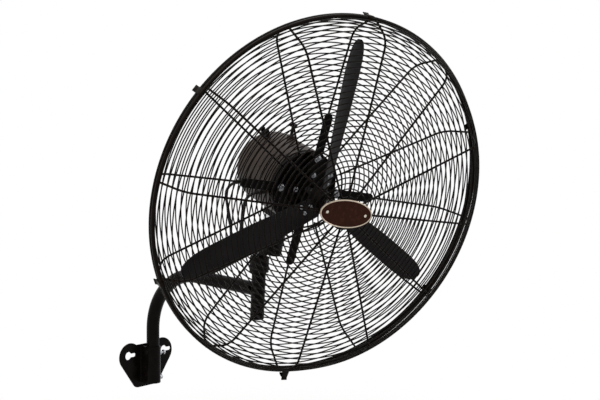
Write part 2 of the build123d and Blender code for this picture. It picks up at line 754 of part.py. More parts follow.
arm_back = blade_thick / 2 + seam
hub_arm = block(-hub_arm_half, hub_arm_half, arm_back, arm_back + hub_arm_thick, 0, arm_end)
hub = rod((0, hub_front, 0), (0, hub_front + hub_length, 0), hub_radius)
bolts = []
hub_arms = pitched(hub_arm, root_pitch)
for radius, across in ((bolt_first, 0), (bolt_second, -bolt_across), (bolt_second, bolt_across)):
    hole = rod((across, -hub_arm_thick, radius), (across, 3 * hub_arm_thick, radius),
               blade_bolt_radius + screw_play)
    blade -= pitched(hole, root_pitch)
    hub_arms -= pitched(hole, root_pitch)
    bolt = rod((across, -blade_thick / 2, radius), (across, arm_back + hub_arm_thick, radius),
               blade_bolt_radius)
    bolt += rod((across, -blade_thick / 2 - blade_bolt_height, radius),
                (across, -blade_thick / 2, radius), blade_bolt_head)
    bolts.append(pitched(bolt, root_pitch))
for turn in range(blades):
    hub += around_axis(hub_arms, turn * 360 / blades)
hub -= rod((0, hub_front, 0), (0, hub_front + hub_length, 0), shaft_radius + seam)

save("motor_shaft", head_frame, motor_shaft)
save("rotor_core", head_frame, rotor_core)
save("blade_hub", head_frame, hub)
for turn in range(blades):
    save(f"blade_{turn + 1}", head_frame, around_axis(blade, turn * 360 / blades))
save("blade_bolts", head_frame,
     *[around_axis(bolt, turn * 360 / blades) for turn in range(blades) for bolt in bolts])

# ---------------------------------------------------------------- oscillation drive
# Corner of the triangle ear, crank axis, crank pin at the photographed turn of the head.
axis_distance = pivot_distance(pan_rest)
ear_bearing = degrees(atan2(-crank_behind * cos(radians(pan_rest)) - crank_x * sin(radians(pan_rest)),
                            ear_reach - crank_x * cos(radians(pan_rest))
                            + crank_behind * sin(radians(pan_rest))))
pin_corner = degrees(acos((crank_throw ** 2 + axis_distance ** 2 - link_length ** 2)
                          / (2 * crank_throw * axis_distance)))
crank_turn = ear_bearing - pan_rest + pin_corner
pin_x = crank_x + crank_throw * cos(radians(crank_turn))
pin_y = crank_behind + crank_throw * sin(radians(crank_turn))
pin_end = disc_floor - crank_pin_drop
crank = rod((crank_x, crank_behind, disc_floor), (crank_x, crank_behind, disc_top),
            crank_throw + crank_pin + crank_edge)
crank += rod((crank_x, crank_behind, disc_floor),
             (crank_x, crank_behind, wheel_foot + wheel_thick), crank_shaft_radius)
crank += rod((pin_x, pin_y, pin_end), (pin_x, pin_y, disc_top), crank_pin)
wheel = pipe((crank_x, crank_behind, wheel_foot), (crank_x, crank_behind, wheel_foot + wheel_thick),
             wheel_radius, crank_shaft_radius + seam)

ear_point = tilt_frame * Pos(ear_reach, pan_y, link_floor)
pin_point = head_frame * Pos(pin_x, pin_y, 0)
pin_in_tilt = (tilt_frame.inverse() * pin_point).position
link_bearing = degrees(atan2(pin_in_tilt.Y - pan_y, pin_in_tilt.X - ear_reach))
link = block(0, link_length, -link_half, link_half, 0, link_thick)
for end_x in (0, link_length):
    link += rod((end_x, 0, 0), (end_x, 0, link_thick), link_half)
for end_x in (0, link_length):
    link -= rod((end_x, 0, 0), (end_x, 0, link_thick), crank_pin + hinge_gap)

save("crank", head_frame, crank)
save("worm_wheel", head_frame, wheel)
save("link_rod", ear_point * Rot(0, 0, link_bearing), link)

# ---------------------------------------------------------------- latches
# Drawn at the top of the cage in a plane with the rear along +x and the outside along +y,
# about the front rim's wire: an eye, a strap over the rear rim and a hook behind it.
eye_inner = rim_wire + latch_eye_gap
eye_outer = eye_inner + latch_wall
hook_inner = 2 * rim_half_gap + rim_wire + latch_clear
hook_outer = hook_inner + latch_wall
hook_start = degrees(asin(eye_outer / hook_outer))
strap_end = hook_outer * cos(radians(hook_start))
wedge_reach = 2 * hook_outer


def on_circle(radius, angle):
    """Point at a radius and an angle."""
    return (radius * cos(radians(angle)), radius * sin(radians(angle)))


wedge = make_face(Polyline((0, 0), on_circle(wedge_reach, hook_start), (wedge_reach, 0),
                           on_circle(wedge_reach, -latch_hook), (0, 0)))
latch_side = Circle(eye_outer) + Pos(strap_end / 2, (eye_inner + eye_outer) / 2) * Rectangle(
    strap_end, latch_wall)
latch_side += (Circle(hook_outer) - Circle(hook_inner)) & wedge
lip = Pos(hook_inner + (latch_wall + latch_lip) / 2, 0) * Rectangle(latch_wall + latch_lip, latch_wall)
latch_side += Rot(0, 0, hook_start - lip_drop) * lip
latch_side -= Circle(eye_inner)
latch_plane = Plane(origin=(-latch_half, ahead(rim_half_gap), rim_radius), x_dir=(0, 1, 0),
                    z_dir=(1, 0, 0))
for index in range(latches):
    opened = open_angle if index == open_latch else 0
    latch = extrude(latch_plane * (Rot(0, 0, opened) * latch_side), 2 * latch_half)
    save(f"latch_{index + 1}", cage_frame,
         around_axis(latch, index * 360 / latches + latch_shift))

# ---------------------------------------------------------------- motor lead


def beside_drum(angle, radius, y):
    """Point beside the motor, at an angle about the fan axis from its top."""
    return Vector(radius * sin(radians(angle)), y, radius * cos(radians(angle)))


gland_out = drum_radius + gland_length
glands = []
for gland_angle, gland_y in ((front_gland_angle, front_gland_y), (rear_gland_angle, rear_gland_y)):
    gland = rod(beside_drum(gland_angle, drum_bore, gland_y),
                beside_drum(gland_angle, gland_out, gland_y), gland_radius)
    glands.append(gland - drum)

lead_points = [beside_drum(front_gland_angle, gland_out, front_gland_y),
               beside_drum(front_gland_angle, gland_out + lead_exit, front_gland_y),
               *[Vector(*point) for point in lead_route],
               beside_drum(rear_gland_angle, gland_out + lead_exit, rear_gland_y),
               beside_drum(rear_gland_angle, gland_out, rear_gland_y)]
lead_radii = []
for before, corner, after in zip(lead_points, lead_points[1:], lead_points[2:]):
    run_in, run_out = corner - before, after - corner
    half_turn = radians(run_in.get_angle(run_out)) / 2
    lead_radii.append(bend_share * min(run_in.length, run_out.length) / tan(half_turn))
lead_path = FilletPolyline(*lead_points, radius=lead_radii)
lead_section = Plane(origin=lead_path @ 0, z_dir=lead_path % 0) * Circle(lead_radius)
lead = sweep(lead_section, path=lead_path)
print("lead radii", [round(radius, 1) for radius in lead_radii])
print("lead runs", [round((b - a).length, 1) for a, b in zip(lead_points, lead_points[1:])])
print("lead length", round(lead_path.length, 1), "volume over section times length",
      round(lead.volume / (pi * lead_radius ** 2 * lead_path.length), 4))

save("lead_glands", head_frame, *glands)
save("motor_lead", head_frame, lead)
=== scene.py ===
# %% [markdown]
# # A wall mounted fan, dressed in Blender
# The fan is already built as a set of solid parts that move. This notebook gives it its looks:
# smooth wire, rolled edges, paint, screws and light. Each step says what the real piece is, how
# it could be made in Blender, and why this way was chosen.

# %% Load the solid parts
import bmesh
import bpy
import numpy as np
from math import asin, cos, degrees, radians, sin
from mathutils import Matrix, Vector


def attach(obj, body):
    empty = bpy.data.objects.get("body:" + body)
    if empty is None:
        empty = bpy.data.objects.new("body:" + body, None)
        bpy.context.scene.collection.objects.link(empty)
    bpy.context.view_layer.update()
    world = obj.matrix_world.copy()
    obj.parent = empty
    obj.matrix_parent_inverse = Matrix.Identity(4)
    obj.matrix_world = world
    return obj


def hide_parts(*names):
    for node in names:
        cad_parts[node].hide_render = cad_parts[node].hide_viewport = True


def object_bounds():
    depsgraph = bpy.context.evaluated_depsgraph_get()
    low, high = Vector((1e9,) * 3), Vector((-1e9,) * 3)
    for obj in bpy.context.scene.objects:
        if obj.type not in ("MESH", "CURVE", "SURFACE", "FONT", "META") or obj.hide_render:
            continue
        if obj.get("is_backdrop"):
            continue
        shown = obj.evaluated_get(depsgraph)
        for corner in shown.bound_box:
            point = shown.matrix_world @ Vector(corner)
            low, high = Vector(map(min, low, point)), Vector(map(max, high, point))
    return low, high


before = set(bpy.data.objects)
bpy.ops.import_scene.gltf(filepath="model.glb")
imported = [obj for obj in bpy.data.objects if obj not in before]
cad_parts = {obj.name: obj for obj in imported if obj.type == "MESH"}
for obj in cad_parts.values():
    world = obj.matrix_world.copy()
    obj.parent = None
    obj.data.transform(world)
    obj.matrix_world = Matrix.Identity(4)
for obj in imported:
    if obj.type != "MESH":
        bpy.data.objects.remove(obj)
solid_box = [list(corner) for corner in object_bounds()]

# %% [markdown]
# ## Where things are
# The fan is a chain of tilted frames: the arm's post leans a little, the head tilts nose down
# on it, swivels to one side, and the cage sits turned on the motor. A frame is a 4 x 4 matrix,
# so each is written once, from the one before it, and every piece is drawn upright in the frame
# where it is simplest and then carried into place. The wall is the plane Y = 0 and Z is up.

# %% Frames
mm = 0.001
tube_from_wall, arm_reach, arm_level, arm_droop = 27 * mm, 340 * mm, 190 * mm, 3
tilt_up_post, tilt_rest = 86.5 * mm, 16
pan_offset, axis_height, pan_rest, cage_turn = 32 * mm, 175 * mm, -18, 2.4


def turned(axis, angle):
    """Rotation by an angle in degrees about X, Y or Z: columns are the turned axes."""
    return np.array(Matrix.Rotation(radians(angle), 4, axis))


def moved(x, y, z):
    """Shift by three distances: an identity with them in its last column."""
    matrix = np.eye(4)
    matrix[:3, 3] = x, y, z
    return matrix


def placed(points, matrix):
    """Points carried by a matrix: p' = R p + t for the whole array at once."""
    return points @ matrix[:3, :3].T + matrix[:3, 3]


WALL = np.eye(4)
post_y = -tube_from_wall - arm_reach
POST = moved(0, post_y, arm_level) @ turned("X", arm_droop)
TILT = POST @ moved(0, 0, tilt_up_post) @ turned("X", tilt_rest - arm_droop)
HEAD = TILT @ moved(0, -pan_offset, axis_height) @ turned("Z", pan_rest)
CAGE = HEAD @ turned("Y", cage_turn)
print("fan axis starts at", HEAD[:3, 3].round(3))

# %% [markdown]
# ## The camera
# The viewing direction was worked out from the rim, the arm and the wall plate in the photograph.
# A camera is a lens and a frame of three axes: right, up and backwards. The small shifts move the
# picture in its frame without turning the camera, which keeps the wall plate's uprights upright.

# %% Camera
right = np.array((0.65020, -0.75972, 0.00726))
forward = np.array((0.75826, 0.64829, -0.06905))
up = np.cross(right, forward)
view = np.eye(4)
view[:3, 0], view[:3, 1], view[:3, 2] = right, up, -forward
view[:3, 3] = -1.7014, -1.9374, 0.5359
sensor_width, picture_width, lens_in_pixels = 36, 600, 1076
lens = bpy.data.cameras.new("photo_camera")
lens.sensor_width, lens.lens = sensor_width, lens_in_pixels * sensor_width / picture_width
lens.shift_x, lens.shift_y = 0.0010, 0.0070
camera = bpy.data.objects.new("photo_camera", lens)
camera.matrix_world = Matrix(view)
bpy.context.scene.collection.objects.link(camera)
bpy.context.scene.camera = camera
print("camera looks along", forward, "with a", round(lens.lens, 1), "mm lens")

# %% [markdown]
# ## Finishes
# Nothing on a real fan is one flat colour. Enamel is thick and slightly rippled, stoved metal
# paint is finely textured, steel is brushed or turned. Each finish is a small recipe of the same
# steps: a soft noise mixes two near colours and varies the roughness with them, a second, fine
# noise raises a relief, and the constants sit on the shader itself. Image textures could do this
# too, but a recipe has no seams and no fixed size.

# %% A finish from noise


def node(tree, kind, **settings):
    """New shader node with its settings and input values."""
    made = tree.nodes.new(kind)
    for key, value in settings.items():
        if key in made.inputs:
            made.inputs[key].default_value = value
        else:
            setattr(made, key, value)
    return made


def finish(name, dark, light, patch, rough, relief, grain, stretch=(1, 1, 1), metal=0.0, **shine):
    """Material whose colour runs from dark to light, with noise in its gloss and relief.

    patch and grain are noise scales per metre, rough a pair of roughness values, relief a height
    in metres, stretch the scale of the noise along X, Y and Z.
    """
    made = bpy.data.materials.new(name)
    made.use_nodes = True
    tree = made.node_tree
    shader = tree.nodes["Principled BSDF"]
    shader.inputs["Metallic"].default_value = metal
    for key, value in shine.items():
        shader.inputs[key.replace("_", " ")].default_value = value
    where = node(tree, "ShaderNodeTexCoord")
    mapping = node(tree, "ShaderNodeMapping", Scale=stretch)
    tree.links.new(where.outputs["Object"], mapping.inputs["Vector"])
    coarse = node(tree, "ShaderNodeTexNoise", Scale=patch, Detail=5.0, Roughness=0.6)
    fine = node(tree, "ShaderNodeTexNoise", Scale=grain, Detail=3.0)
    for noise in (coarse, fine):
        tree.links.new(mapping.outputs["Vector"], noise.inputs["Vector"])
    ramp = node(tree, "ShaderNodeValToRGB")
    ramp.color_ramp.elements[0].color = (*dark, 1)
    ramp.color_ramp.elements[0].position = 0.3
    ramp.color_ramp.elements[1].color = (*light, 1)
    ramp.color_ramp.elements[1].position = 0.7
    tree.links.new(coarse.outputs["Fac"], ramp.inputs["Fac"])
    tree.links.new(ramp.outputs["Color"], shader.inputs["Base Color"])
    gloss = node(tree, "ShaderNodeMapRange")
    gloss.inputs["From Min"].default_value, gloss.inputs["From Max"].default_value = 0.35, 0.65
    gloss.inputs["To Min"].default_value, gloss.inputs["To Max"].default_value = rough
    tree.links.new(coarse.outputs["Fac"], gloss.inputs["Value"])
    tree.links.new(gloss.outputs["Result"], shader.inputs["Roughness"])
    bump = node(tree, "ShaderNodeBump", Strength=1.0, Distance=relief)
    tree.links.new(fine.outputs["Fac"], bump.inputs["Height"])
    tree.links.new(bump.outputs["Normal"], shader.inputs["Normal"])
    return made


# %% [markdown]
# ## The fan's own finishes
# The photograph shows a black enamel with a brown cast on all wire, tube and plate, a warm
# grey-brown paint on the motor's drum, bright zinc plated screws, a dark red-brown badge with a
# pale brass coloured edge, and black plastic and rubber. The paint is so dark that most of what it
# sends back is gloss, so its brown shows only when that gloss is kept low. The lacquered badge
# is smoother than the paint, so its roughness is the lowest of the coloured finishes.

# %% Finishes of the fan
enamel = finish("black_enamel", (0.0030, 0.0019, 0.0012), (0.0074, 0.0049, 0.0034), 60,
                (0.26, 0.4), 0.00003, 900, Specular_IOR_Level=0.045)
sheet_enamel = finish("sheet_enamel", (0.0018, 0.0013, 0.0011), (0.0046, 0.0035, 0.0031), 45,
                      (0.2, 0.34), 0.00004, 700, Specular_IOR_Level=0.04)
blade_enamel = finish("blade_enamel", (0.0052, 0.0046, 0.0048), (0.0110, 0.0096, 0.0098), 25,
                      (0.34, 0.46), 0.00003, 700, Specular_IOR_Level=0.09)
drum_paint = finish("drum_paint", (0.0165, 0.0105, 0.0072), (0.0315, 0.0218, 0.0155), 45,
                    (0.38, 0.5), 0.00005, 1100, Specular_IOR_Level=0.11)
zinc = finish("zinc_plate", (0.20, 0.21, 0.225), (0.40, 0.41, 0.43), 260, (0.2, 0.36),
              0.00004, 1600, stretch=(1, 6, 1), metal=1.0)
turned_steel = finish("turned_steel", (0.42, 0.42, 0.43), (0.60, 0.60, 0.61), 300, (0.2, 0.35),
                      0.00002, 2400, stretch=(1, 10, 1), metal=1.0)
laminations = finish("laminations", (0.16, 0.16, 0.17), (0.26, 0.26, 0.27), 120, (0.4, 0.6),
                     0.00005, 2000, stretch=(1, 20, 1), metal=1.0)
copper = finish("copper_winding", (0.40, 0.13, 0.05), (0.62, 0.25, 0.10), 400, (0.25, 0.4),
                0.0001, 900, stretch=(1, 8, 1), metal=1.0)
brass = finish("bush_brass", (0.45, 0.30, 0.10), (0.60, 0.42, 0.16), 150, (0.3, 0.45),
               0.00002, 1500, metal=1.0)
casting = finish("painted_casting", (0.0024, 0.0019, 0.0017), (0.0065, 0.0052, 0.0046), 80,
                 (0.36, 0.52), 0.00008, 420, Specular_IOR_Level=0.06)
plastic = finish("black_plastic", (0.003, 0.003, 0.003), (0.008, 0.0077, 0.0077), 140,
                 (0.38, 0.52), 0.00003, 1300, Specular_IOR_Level=0.08)
badge_red = finish("badge_lacquer", (0.0205, 0.0058, 0.003), (0.0345, 0.0098, 0.005), 90,
                   (0.18, 0.3), 0.00001, 600, Specular_IOR_Level=0.045)
badge_brass = finish("badge_trim", (0.42, 0.34, 0.26), (0.58, 0.49, 0.39), 260, (0.3, 0.45),
                     0.00002, 1500, metal=0.6)
cream = finish("rivet_cream", (0.55, 0.50, 0.42), (0.72, 0.67, 0.58), 300, (0.3, 0.45),
               0.00002, 1200)
rubber = finish("lead_rubber", (0.006, 0.006, 0.006), (0.016, 0.015, 0.0145), 160, (0.5, 0.7),
                0.00005, 1500, Specular_IOR_Level=0.2)
print(len(bpy.data.materials), "finishes")

# %% [markdown]
# ## Every solid part gets a finish
# The solid parts that stay as they are take their finish here, so nothing is left grey. Those
# that a finer piece replaces further on are dressed too, which costs nothing and keeps the list
# whole. Inside parts are dressed as well: they show when the fan is taken apart.

# %% Dress the solid parts
dress = {
    enamel: ["rear_rim", "rear_spokes", "rear_outer_rings", "rear_inner_rings", "rear_collar",
             "front_rim", "front_spokes", "front_outer_rings", "front_inner_rings"],
    sheet_enamel: ["wall_plate", "socket_channel", "socket_back_strip", "socket_floor", "arm_tube",
                   "post_tube", "front_disc", "spider", "front_cover"],
    drum_paint: ["motor_shell"],
    casting: ["neck_collar", "tilt_yoke", "saddle", "blade_hub", "motor_clip", "bulkhead"],
    blade_enamel: ["blade_1", "blade_2", "blade_3"],
    zinc: ["clamp_nuts", "clamp_bolts", "collar_screw", "tilt_bolt", "tilt_nut", "spider_screws",
           "centre_screws", "blade_bolts", "thrust_washer", "swivel_nut", "link_rod"],
    turned_steel: ["motor_shaft", "crank", "bearings"],
    laminations: ["stator", "rotor_core"],
    copper: ["windings"],
    brass: ["swivel_bush", "worm_wheel"],
    plastic: ["post_plug", "clutch_knob"],
    badge_red: ["badge_plate"],
    badge_brass: ["badge_bezel"],
    cream: ["badge_rivets"],
    rubber: ["motor_lead", "lead_glands"],
}
dress[enamel] += [f"latch_{number}" for number in range(1, 7)]
for material, names in dress.items():
    for name in names:
        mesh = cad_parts[name].data
        mesh.materials.clear()
        mesh.materials.append(material)
left_bare = set(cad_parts) - {name for names in dress.values() for name in names}
print("parts without a finish:", sorted(left_bare))

# %% [markdown]
# ## Surfaces from arrays
# Most shapes here are one of two things: a wire or strip, which is a small outline carried along
# a path, or a turned piece, which is an outline swung about an axis. Both are a grid of points,
# rows along one direction and columns along the other, so one function can skin them all. The
# faces must look outwards. For a closed shell that is easy to test: the sum of the small
# pyramids from the origin to each face is the volume, and it is positive only if they do.

# %% Grid to mesh


def skin(grid, wrap_rows=False, wrap_columns=True, caps=True):
    """Points and faces of a grid (rows, columns, 3), with its ends closed by one face each.

    Face (i, j) joins points (i, j), (i, j+1), (i+1, j+1), (i+1, j), counted round where wrapped.
    The faces are turned round if sum(p0 . (p1 x p2)) over them is negative.
    """
    rows, columns = grid.shape[:2]
    index = np.arange(rows * columns).reshape(rows, columns)
    if wrap_rows:
        index = np.vstack((index, index[:1]))
    if wrap_columns:
        index = np.hstack((index, index[:, :1]))
    quads = np.stack((index[:-1, :-1], index[:-1, 1:], index[1:, 1:], index[1:, :-1]), -1)
    faces = quads.reshape(-1, 4).tolist()
    if caps and not wrap_rows:
        faces += [index[0, :columns][::-1].tolist(), index[-1, :columns].tolist()]
    points = grid.reshape(-1, 3)
    centred = points - points.mean(0)
    a, b, c, d = (centred[quads.reshape(-1, 4)[:, k]] for k in range(4))
    volume = (a * np.cross(b, c)).sum() + (a * np.cross(c, d)).sum()
    if volume < 0:
        faces = [face[::-1] for face in faces]
    return points, faces


def joined(shells):
    """Several shells as one list of points and faces."""
    points, faces, start = [], [], 0
    for shell_points, shell_faces in shells:
        points.append(shell_points)
        faces += [[k + start for k in face] for face in shell_faces]
        start += len(shell_points)
    return np.vstack(points), faces


def settle(mesh_object, body, stands_for):
    """Put a piece on its body and hide the solid parts that it stands for."""
    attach(mesh_object, body)
    if stands_for:
        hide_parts(*stands_for)
    return mesh_object


def piece(name, shells, place, material, body, stands_for=(), crease=35):
    """New object from shells drawn in the frame place; edges sharper than crease stay sharp."""
    points, faces = joined(shells)
    mesh = bpy.data.meshes.new(name)
    mesh.from_pydata(placed(points, place).tolist(), [], faces)
    mesh.polygons.foreach_set("use_smooth", np.ones(len(faces), bool))
    mesh.set_sharp_from_angle(angle=radians(crease))
    mesh.materials.append(material)
    mesh.update()
    made = bpy.data.objects.new(name, mesh)
    bpy.context.scene.collection.objects.link(made)
    print(name, len(faces), "faces")
    return settle(made, body, stands_for)


# %% [markdown]
# ## Carried outlines and turned outlines
# A path that lies in one plane needs no clever bookkeeping: at each point the plane's normal and
# the path's own direction give the two axes in which the outline is drawn. Corners of a bent
# wire are arcs that touch both runs, because wire is bent round a former.

# %% Carry and turn


def carry(path, across, outline, closed=False):
    """Grid of an outline (columns, 2) carried along a flat path (rows, 3).

    With T the path's direction, B the plane's unit normal and N = B x T, point (i, j) is
    path_i + a_j N_i + b_j B.
    """
    if closed:
        along = np.roll(path, -1, 0) - np.roll(path, 1, 0)
    else:
        along = np.gradient(path, axis=0)
    along /= np.linalg.norm(along, axis=1)[:, None]
    normal = np.cross(across, along)
    outline = np.asarray(outline, float)
    return (path[:, None] + outline[None, :, :1] * normal[:, None]
            + outline[None, :, 1:] * np.asarray(across, float))


def circle(radius, sides):
    """Points of a circle: (r cos t, r sin t)."""
    t = np.linspace(0, 2 * np.pi, sides, endpoint=False)
    return radius * np.stack((np.cos(t), np.sin(t)), -1)


def bent(start, corner, end, radius, steps=12):
    """Path of two straight runs with an arc of a radius that touches both.

    The arc starts r tan(half the turn) before the corner, and its points are slerped between the
    two radii that meet the runs at right angles.
    """
    start, corner, end = (np.asarray(p, float) for p in (start, corner, end))
    before = (start - corner) / np.linalg.norm(start - corner)
    after = (end - corner) / np.linalg.norm(end - corner)
    opening = np.arccos(before @ after)
    inwards = (before + after) / np.linalg.norm(before + after)
    centre = corner + inwards * radius / np.sin(opening / 2)
    reach = radius / np.tan(opening / 2)
    first, last = corner + before * reach - centre, corner + after * reach - centre
    swing = np.pi - opening
    t = np.linspace(0, 1, steps)[:, None]
    arc = (np.sin((1 - t) * swing) * first + np.sin(t * swing) * last) / np.sin(swing)
    return np.vstack((start, centre + arc, end))


def turned_piece(outline, sides, axis="Y", closed=True):
    """Shell of an outline of (radius, distance along the axis) swung about that axis.

    Point (i, j) is (r_j sin t_i, y_j, r_j cos t_i) about Y, and Y and Z are swapped for Z.
    A closed outline makes a ring, an open one has both ends on the axis.
    """
    outline = np.asarray(outline, float)
    t = np.linspace(0, 2 * np.pi, sides, endpoint=False)[:, None]
    r, y = outline[:, 0], outline[:, 1]
    grid = np.stack((r * np.sin(t), y + 0 * t, r * np.cos(t)), -1)
    if axis == "Z":
        grid = grid[..., (0, 2, 1)]
    return skin(grid, True, closed, False) if closed else dome_ends(grid)


def dome_ends(grid):
    """Skin of a turned grid whose first and last columns lie on the axis, closed by fans."""
    inner = grid[:, 1:-1].transpose(1, 0, 2)
    points, faces = skin(inner, False, True, False)
    count, sides = len(points), inner.shape[1]
    poles = np.stack((grid[0, 0], grid[0, -1]))
    quad = faces[0]
    forward = quad.index(1) == quad.index(0) + 1 or (quad.index(0) == 3 and quad.index(1) == 0)
    last = (inner.shape[0] - 1) * sides
    for k in range(sides):
        following = (k + 1) % sides
        first = [following, k, count]
        second = [last + k, last + following, count + 1]
        faces += [first, second] if forward else [first[::-1], second[::-1]]
    return np.vstack((points, poles)), faces


def rounded(corners, radius, steps=4):
    """Outline with each corner of a polygon cut to a short arc-like curve.

    Each corner becomes the quadratic curve (1-t)^2 a + 2 t (1-t) c + t^2 b between the points a
    and b that lie radius away from it on its two sides.
    """
    corners = np.asarray(corners, float)
    before, after = np.roll(corners, 1, 0), np.roll(corners, -1, 0)
    radius = np.broadcast_to(radius, len(corners))[:, None]
    a = corners + (before - corners) / np.linalg.norm(before - corners, axis=1)[:, None] * radius
    b = corners + (after - corners) / np.linalg.norm(after - corners, axis=1)[:, None] * radius
    t = np.linspace(0, 1, steps)[None, :, None]
    curve = (1 - t) ** 2 * a[:, None] + 2 * t * (1 - t) * corners[:, None] + t ** 2 * b[:, None]
    return curve.reshape(-1, 2)


# %% [markdown]
# ## The wire cage
# Each half of the cage is a heavy rim, twelve spokes bent over a former at the shoulder, and
# thin rings welded over the spokes at an even pitch. The rings follow the spoke's own line: they
# are set out by distance along it, then pushed out by the two wire radii. Curves with a bevel
# would do the same, but an outline carried by numpy gives clean, light tubes whose count of
# sides is chosen wire by wire: sixteen for the rim, eight for a thin ring. A tube with few flat
# sides looks thinner than a round one with the same corners, so the ring's corners are set out
# until its mean width is that of the round wire with its coat of enamel, a tenth of a
# millimetre thick.

# %% Line of a spoke
rim_radius, rim_wire, spoke_wire, ring_wire = 368 * mm, 4 * mm, 2.1 * mm, 1.2 * mm
rim_gap, shoulder_radius, shoulder_depth = 5.1 * mm, 338 * mm, 57.5 * mm
shoulder_bend, hub_depth, rim_plane = 38 * mm, 75.4 * mm, -152 * mm
ring_start, ring_pitch, spoke_count = 12 * mm, 11.15 * mm, 12
weld_sink, coat, ring_sides = 0.25 * mm, 0.1 * mm, 8
ring_corner = (ring_wire + coat) * np.pi / (ring_sides * np.sin(np.pi / ring_sides))
print("a ring's corners stand", round(ring_corner / mm, 2), "mm from its middle")


def face_depth(radius):
    """Depth of the cage's cone from the rim plane: it falls evenly from hub to shoulder."""
    return hub_depth - (hub_depth - shoulder_depth) * radius / shoulder_radius


def spoke_path(side, inner, steps=14):
    """Line of the top spoke, from the rim over the shoulder to a radius; side is 1 in front."""
    rim = (0, rim_plane - side * rim_gap, rim_radius)
    shoulder = (0, rim_plane - side * shoulder_depth, shoulder_radius)
    end = (0, rim_plane - side * face_depth(inner), inner)
    return bent(rim, shoulder, end, shoulder_bend, steps)


def spun(path, turns):
    """The path turned about the fan axis by each of the angles, in degrees."""
    return [placed(path, turned("Y", angle)) for angle in turns]


spoke_turns = np.arange(spoke_count) * 360 / spoke_count


def spoke_shells(side, inner):
    """Twelve round wires on the spoke line, each carried in its own radial plane."""
    path = spoke_path(side, inner)
    return [skin(carry(wire, turned("Y", angle)[:3, 0], circle(spoke_wire, 12)))
            for angle, wire in zip(spoke_turns, spun(path, spoke_turns))]


def hoop(radius, y, wire, around=192, sides=ring_sides):
    """Round wire bent to a ring about the fan axis: a torus as an outline carried round."""
    t = np.linspace(0, 2 * np.pi, around, endpoint=False)
    path = np.stack((radius * np.sin(t), np.full_like(t, y), radius * np.cos(t)), -1)
    return skin(carry(path, (0, 1, 0), circle(wire, sides), True), True)


# %% Rings set out along the spoke


def ring_places(side, inner):
    """Radius and Y of each ring: even steps along the spoke line, moved out by its normal."""
    line = spoke_path(side, inner, 60)
    run = np.concatenate(([0], np.cumsum(np.linalg.norm(np.diff(line, axis=0), axis=1))))
    travel = np.arange(ring_start, run[-1], ring_pitch)
    y, radius = np.interp(travel, run, line[:, 1]), np.interp(travel, run, line[:, 2])
    fine = np.linspace(0, run[-1], 2000)
    slope = np.stack([np.gradient(np.interp(fine, run, line[:, k])) for k in (1, 2)])
    slope /= np.linalg.norm(slope, axis=0)
    along_y, along_z = (np.interp(travel, fine, part) for part in slope)
    out = spoke_wire + ring_wire - weld_sink
    return np.stack((radius + np.abs(along_y) * out, y - side * np.abs(along_z) * out), -1)


# %% Both halves of the cage
# half, its side, where its spokes end, its innermost ring, where its outer group of rings starts
halves = (("front", 1, 14 * mm, 46 * mm, 290 * mm), ("rear", -1, 79 * mm, 84 * mm, 338 * mm))
for half, side, spoke_inner, ring_inner, outer_from in halves:
    rim = hoop(rim_radius, rim_plane - side * rim_gap, rim_wire, 256, 16)
    piece(f"cage_{half}_rim", [rim], CAGE, enamel, "head", [f"{half}_rim"])
    piece(f"cage_{half}_spokes", spoke_shells(side, spoke_inner), CAGE, enamel, "head",
          [f"{half}_spokes"])
    places = ring_places(side, ring_inner)
    outer = places[:, 0] > outer_from
    for group, chosen in (("outer", places[outer]), ("inner", places[~outer])):
        piece(f"cage_{half}_{group}_rings", [hoop(r, y, ring_corner) for r, y in chosen], CAGE,
              enamel, "head", [f"{half}_{group}_rings"])
    print(half, "half has", len(places), "rings")

# %% [markdown]
# ## Welds of the cage
# Where two wires cross they are pressed together and melted: a small swelling is left on both
# sides of the crossing, and the paint runs into it. One faceted bead of a few dozen faces, copied
# to every crossing, is enough, because there are hundreds of them.

# %% Weld beads


def bead(radius, steps=8, rows=3):
    """Small ball of few faces: rows of points at heights r cos p and radii r sin p."""
    p = np.linspace(0, np.pi, rows + 2)
    outline = np.stack((radius * np.sin(p), radius * np.cos(p)), -1)
    return turned_piece(outline, steps, closed=False)


def bead_shells(places, size):
    """The bead at every place, stretched to its size along X, Y and Z."""
    points, faces = bead(1.0)
    return [(points * size + np.asarray(place), faces) for place in places]


crossing_bead, rim_bead = np.array((1.9, 1.6, 1.9)) * mm, np.array((4.6, 4.5, 4.6)) * mm
bead_below = 1.1 * mm
for half, side, spoke_inner, ring_inner, _ in halves:
    rings = ring_places(side, ring_inner)
    tops = np.stack((np.zeros(len(rings)), rings[:, 1], rings[:, 0]), -1)
    crossings = np.vstack(spun(tops + (0, side * bead_below, 0), spoke_turns))
    ends = np.vstack(spun(spoke_path(side, spoke_inner)[:1], spoke_turns))
    shells = bead_shells(crossings, crossing_bead)
    shells += bead_shells(ends, rim_bead)
    piece(f"cage_{half}_welds", shells, CAGE, enamel, "head")

# %% [markdown]
# ## Rolled sheet and lathe work at the hub
# The small disc that carries the badge has its edge rolled back, and the collar that the rear
# spokes end on is a wire hoop. Both are outlines turned about the fan axis.

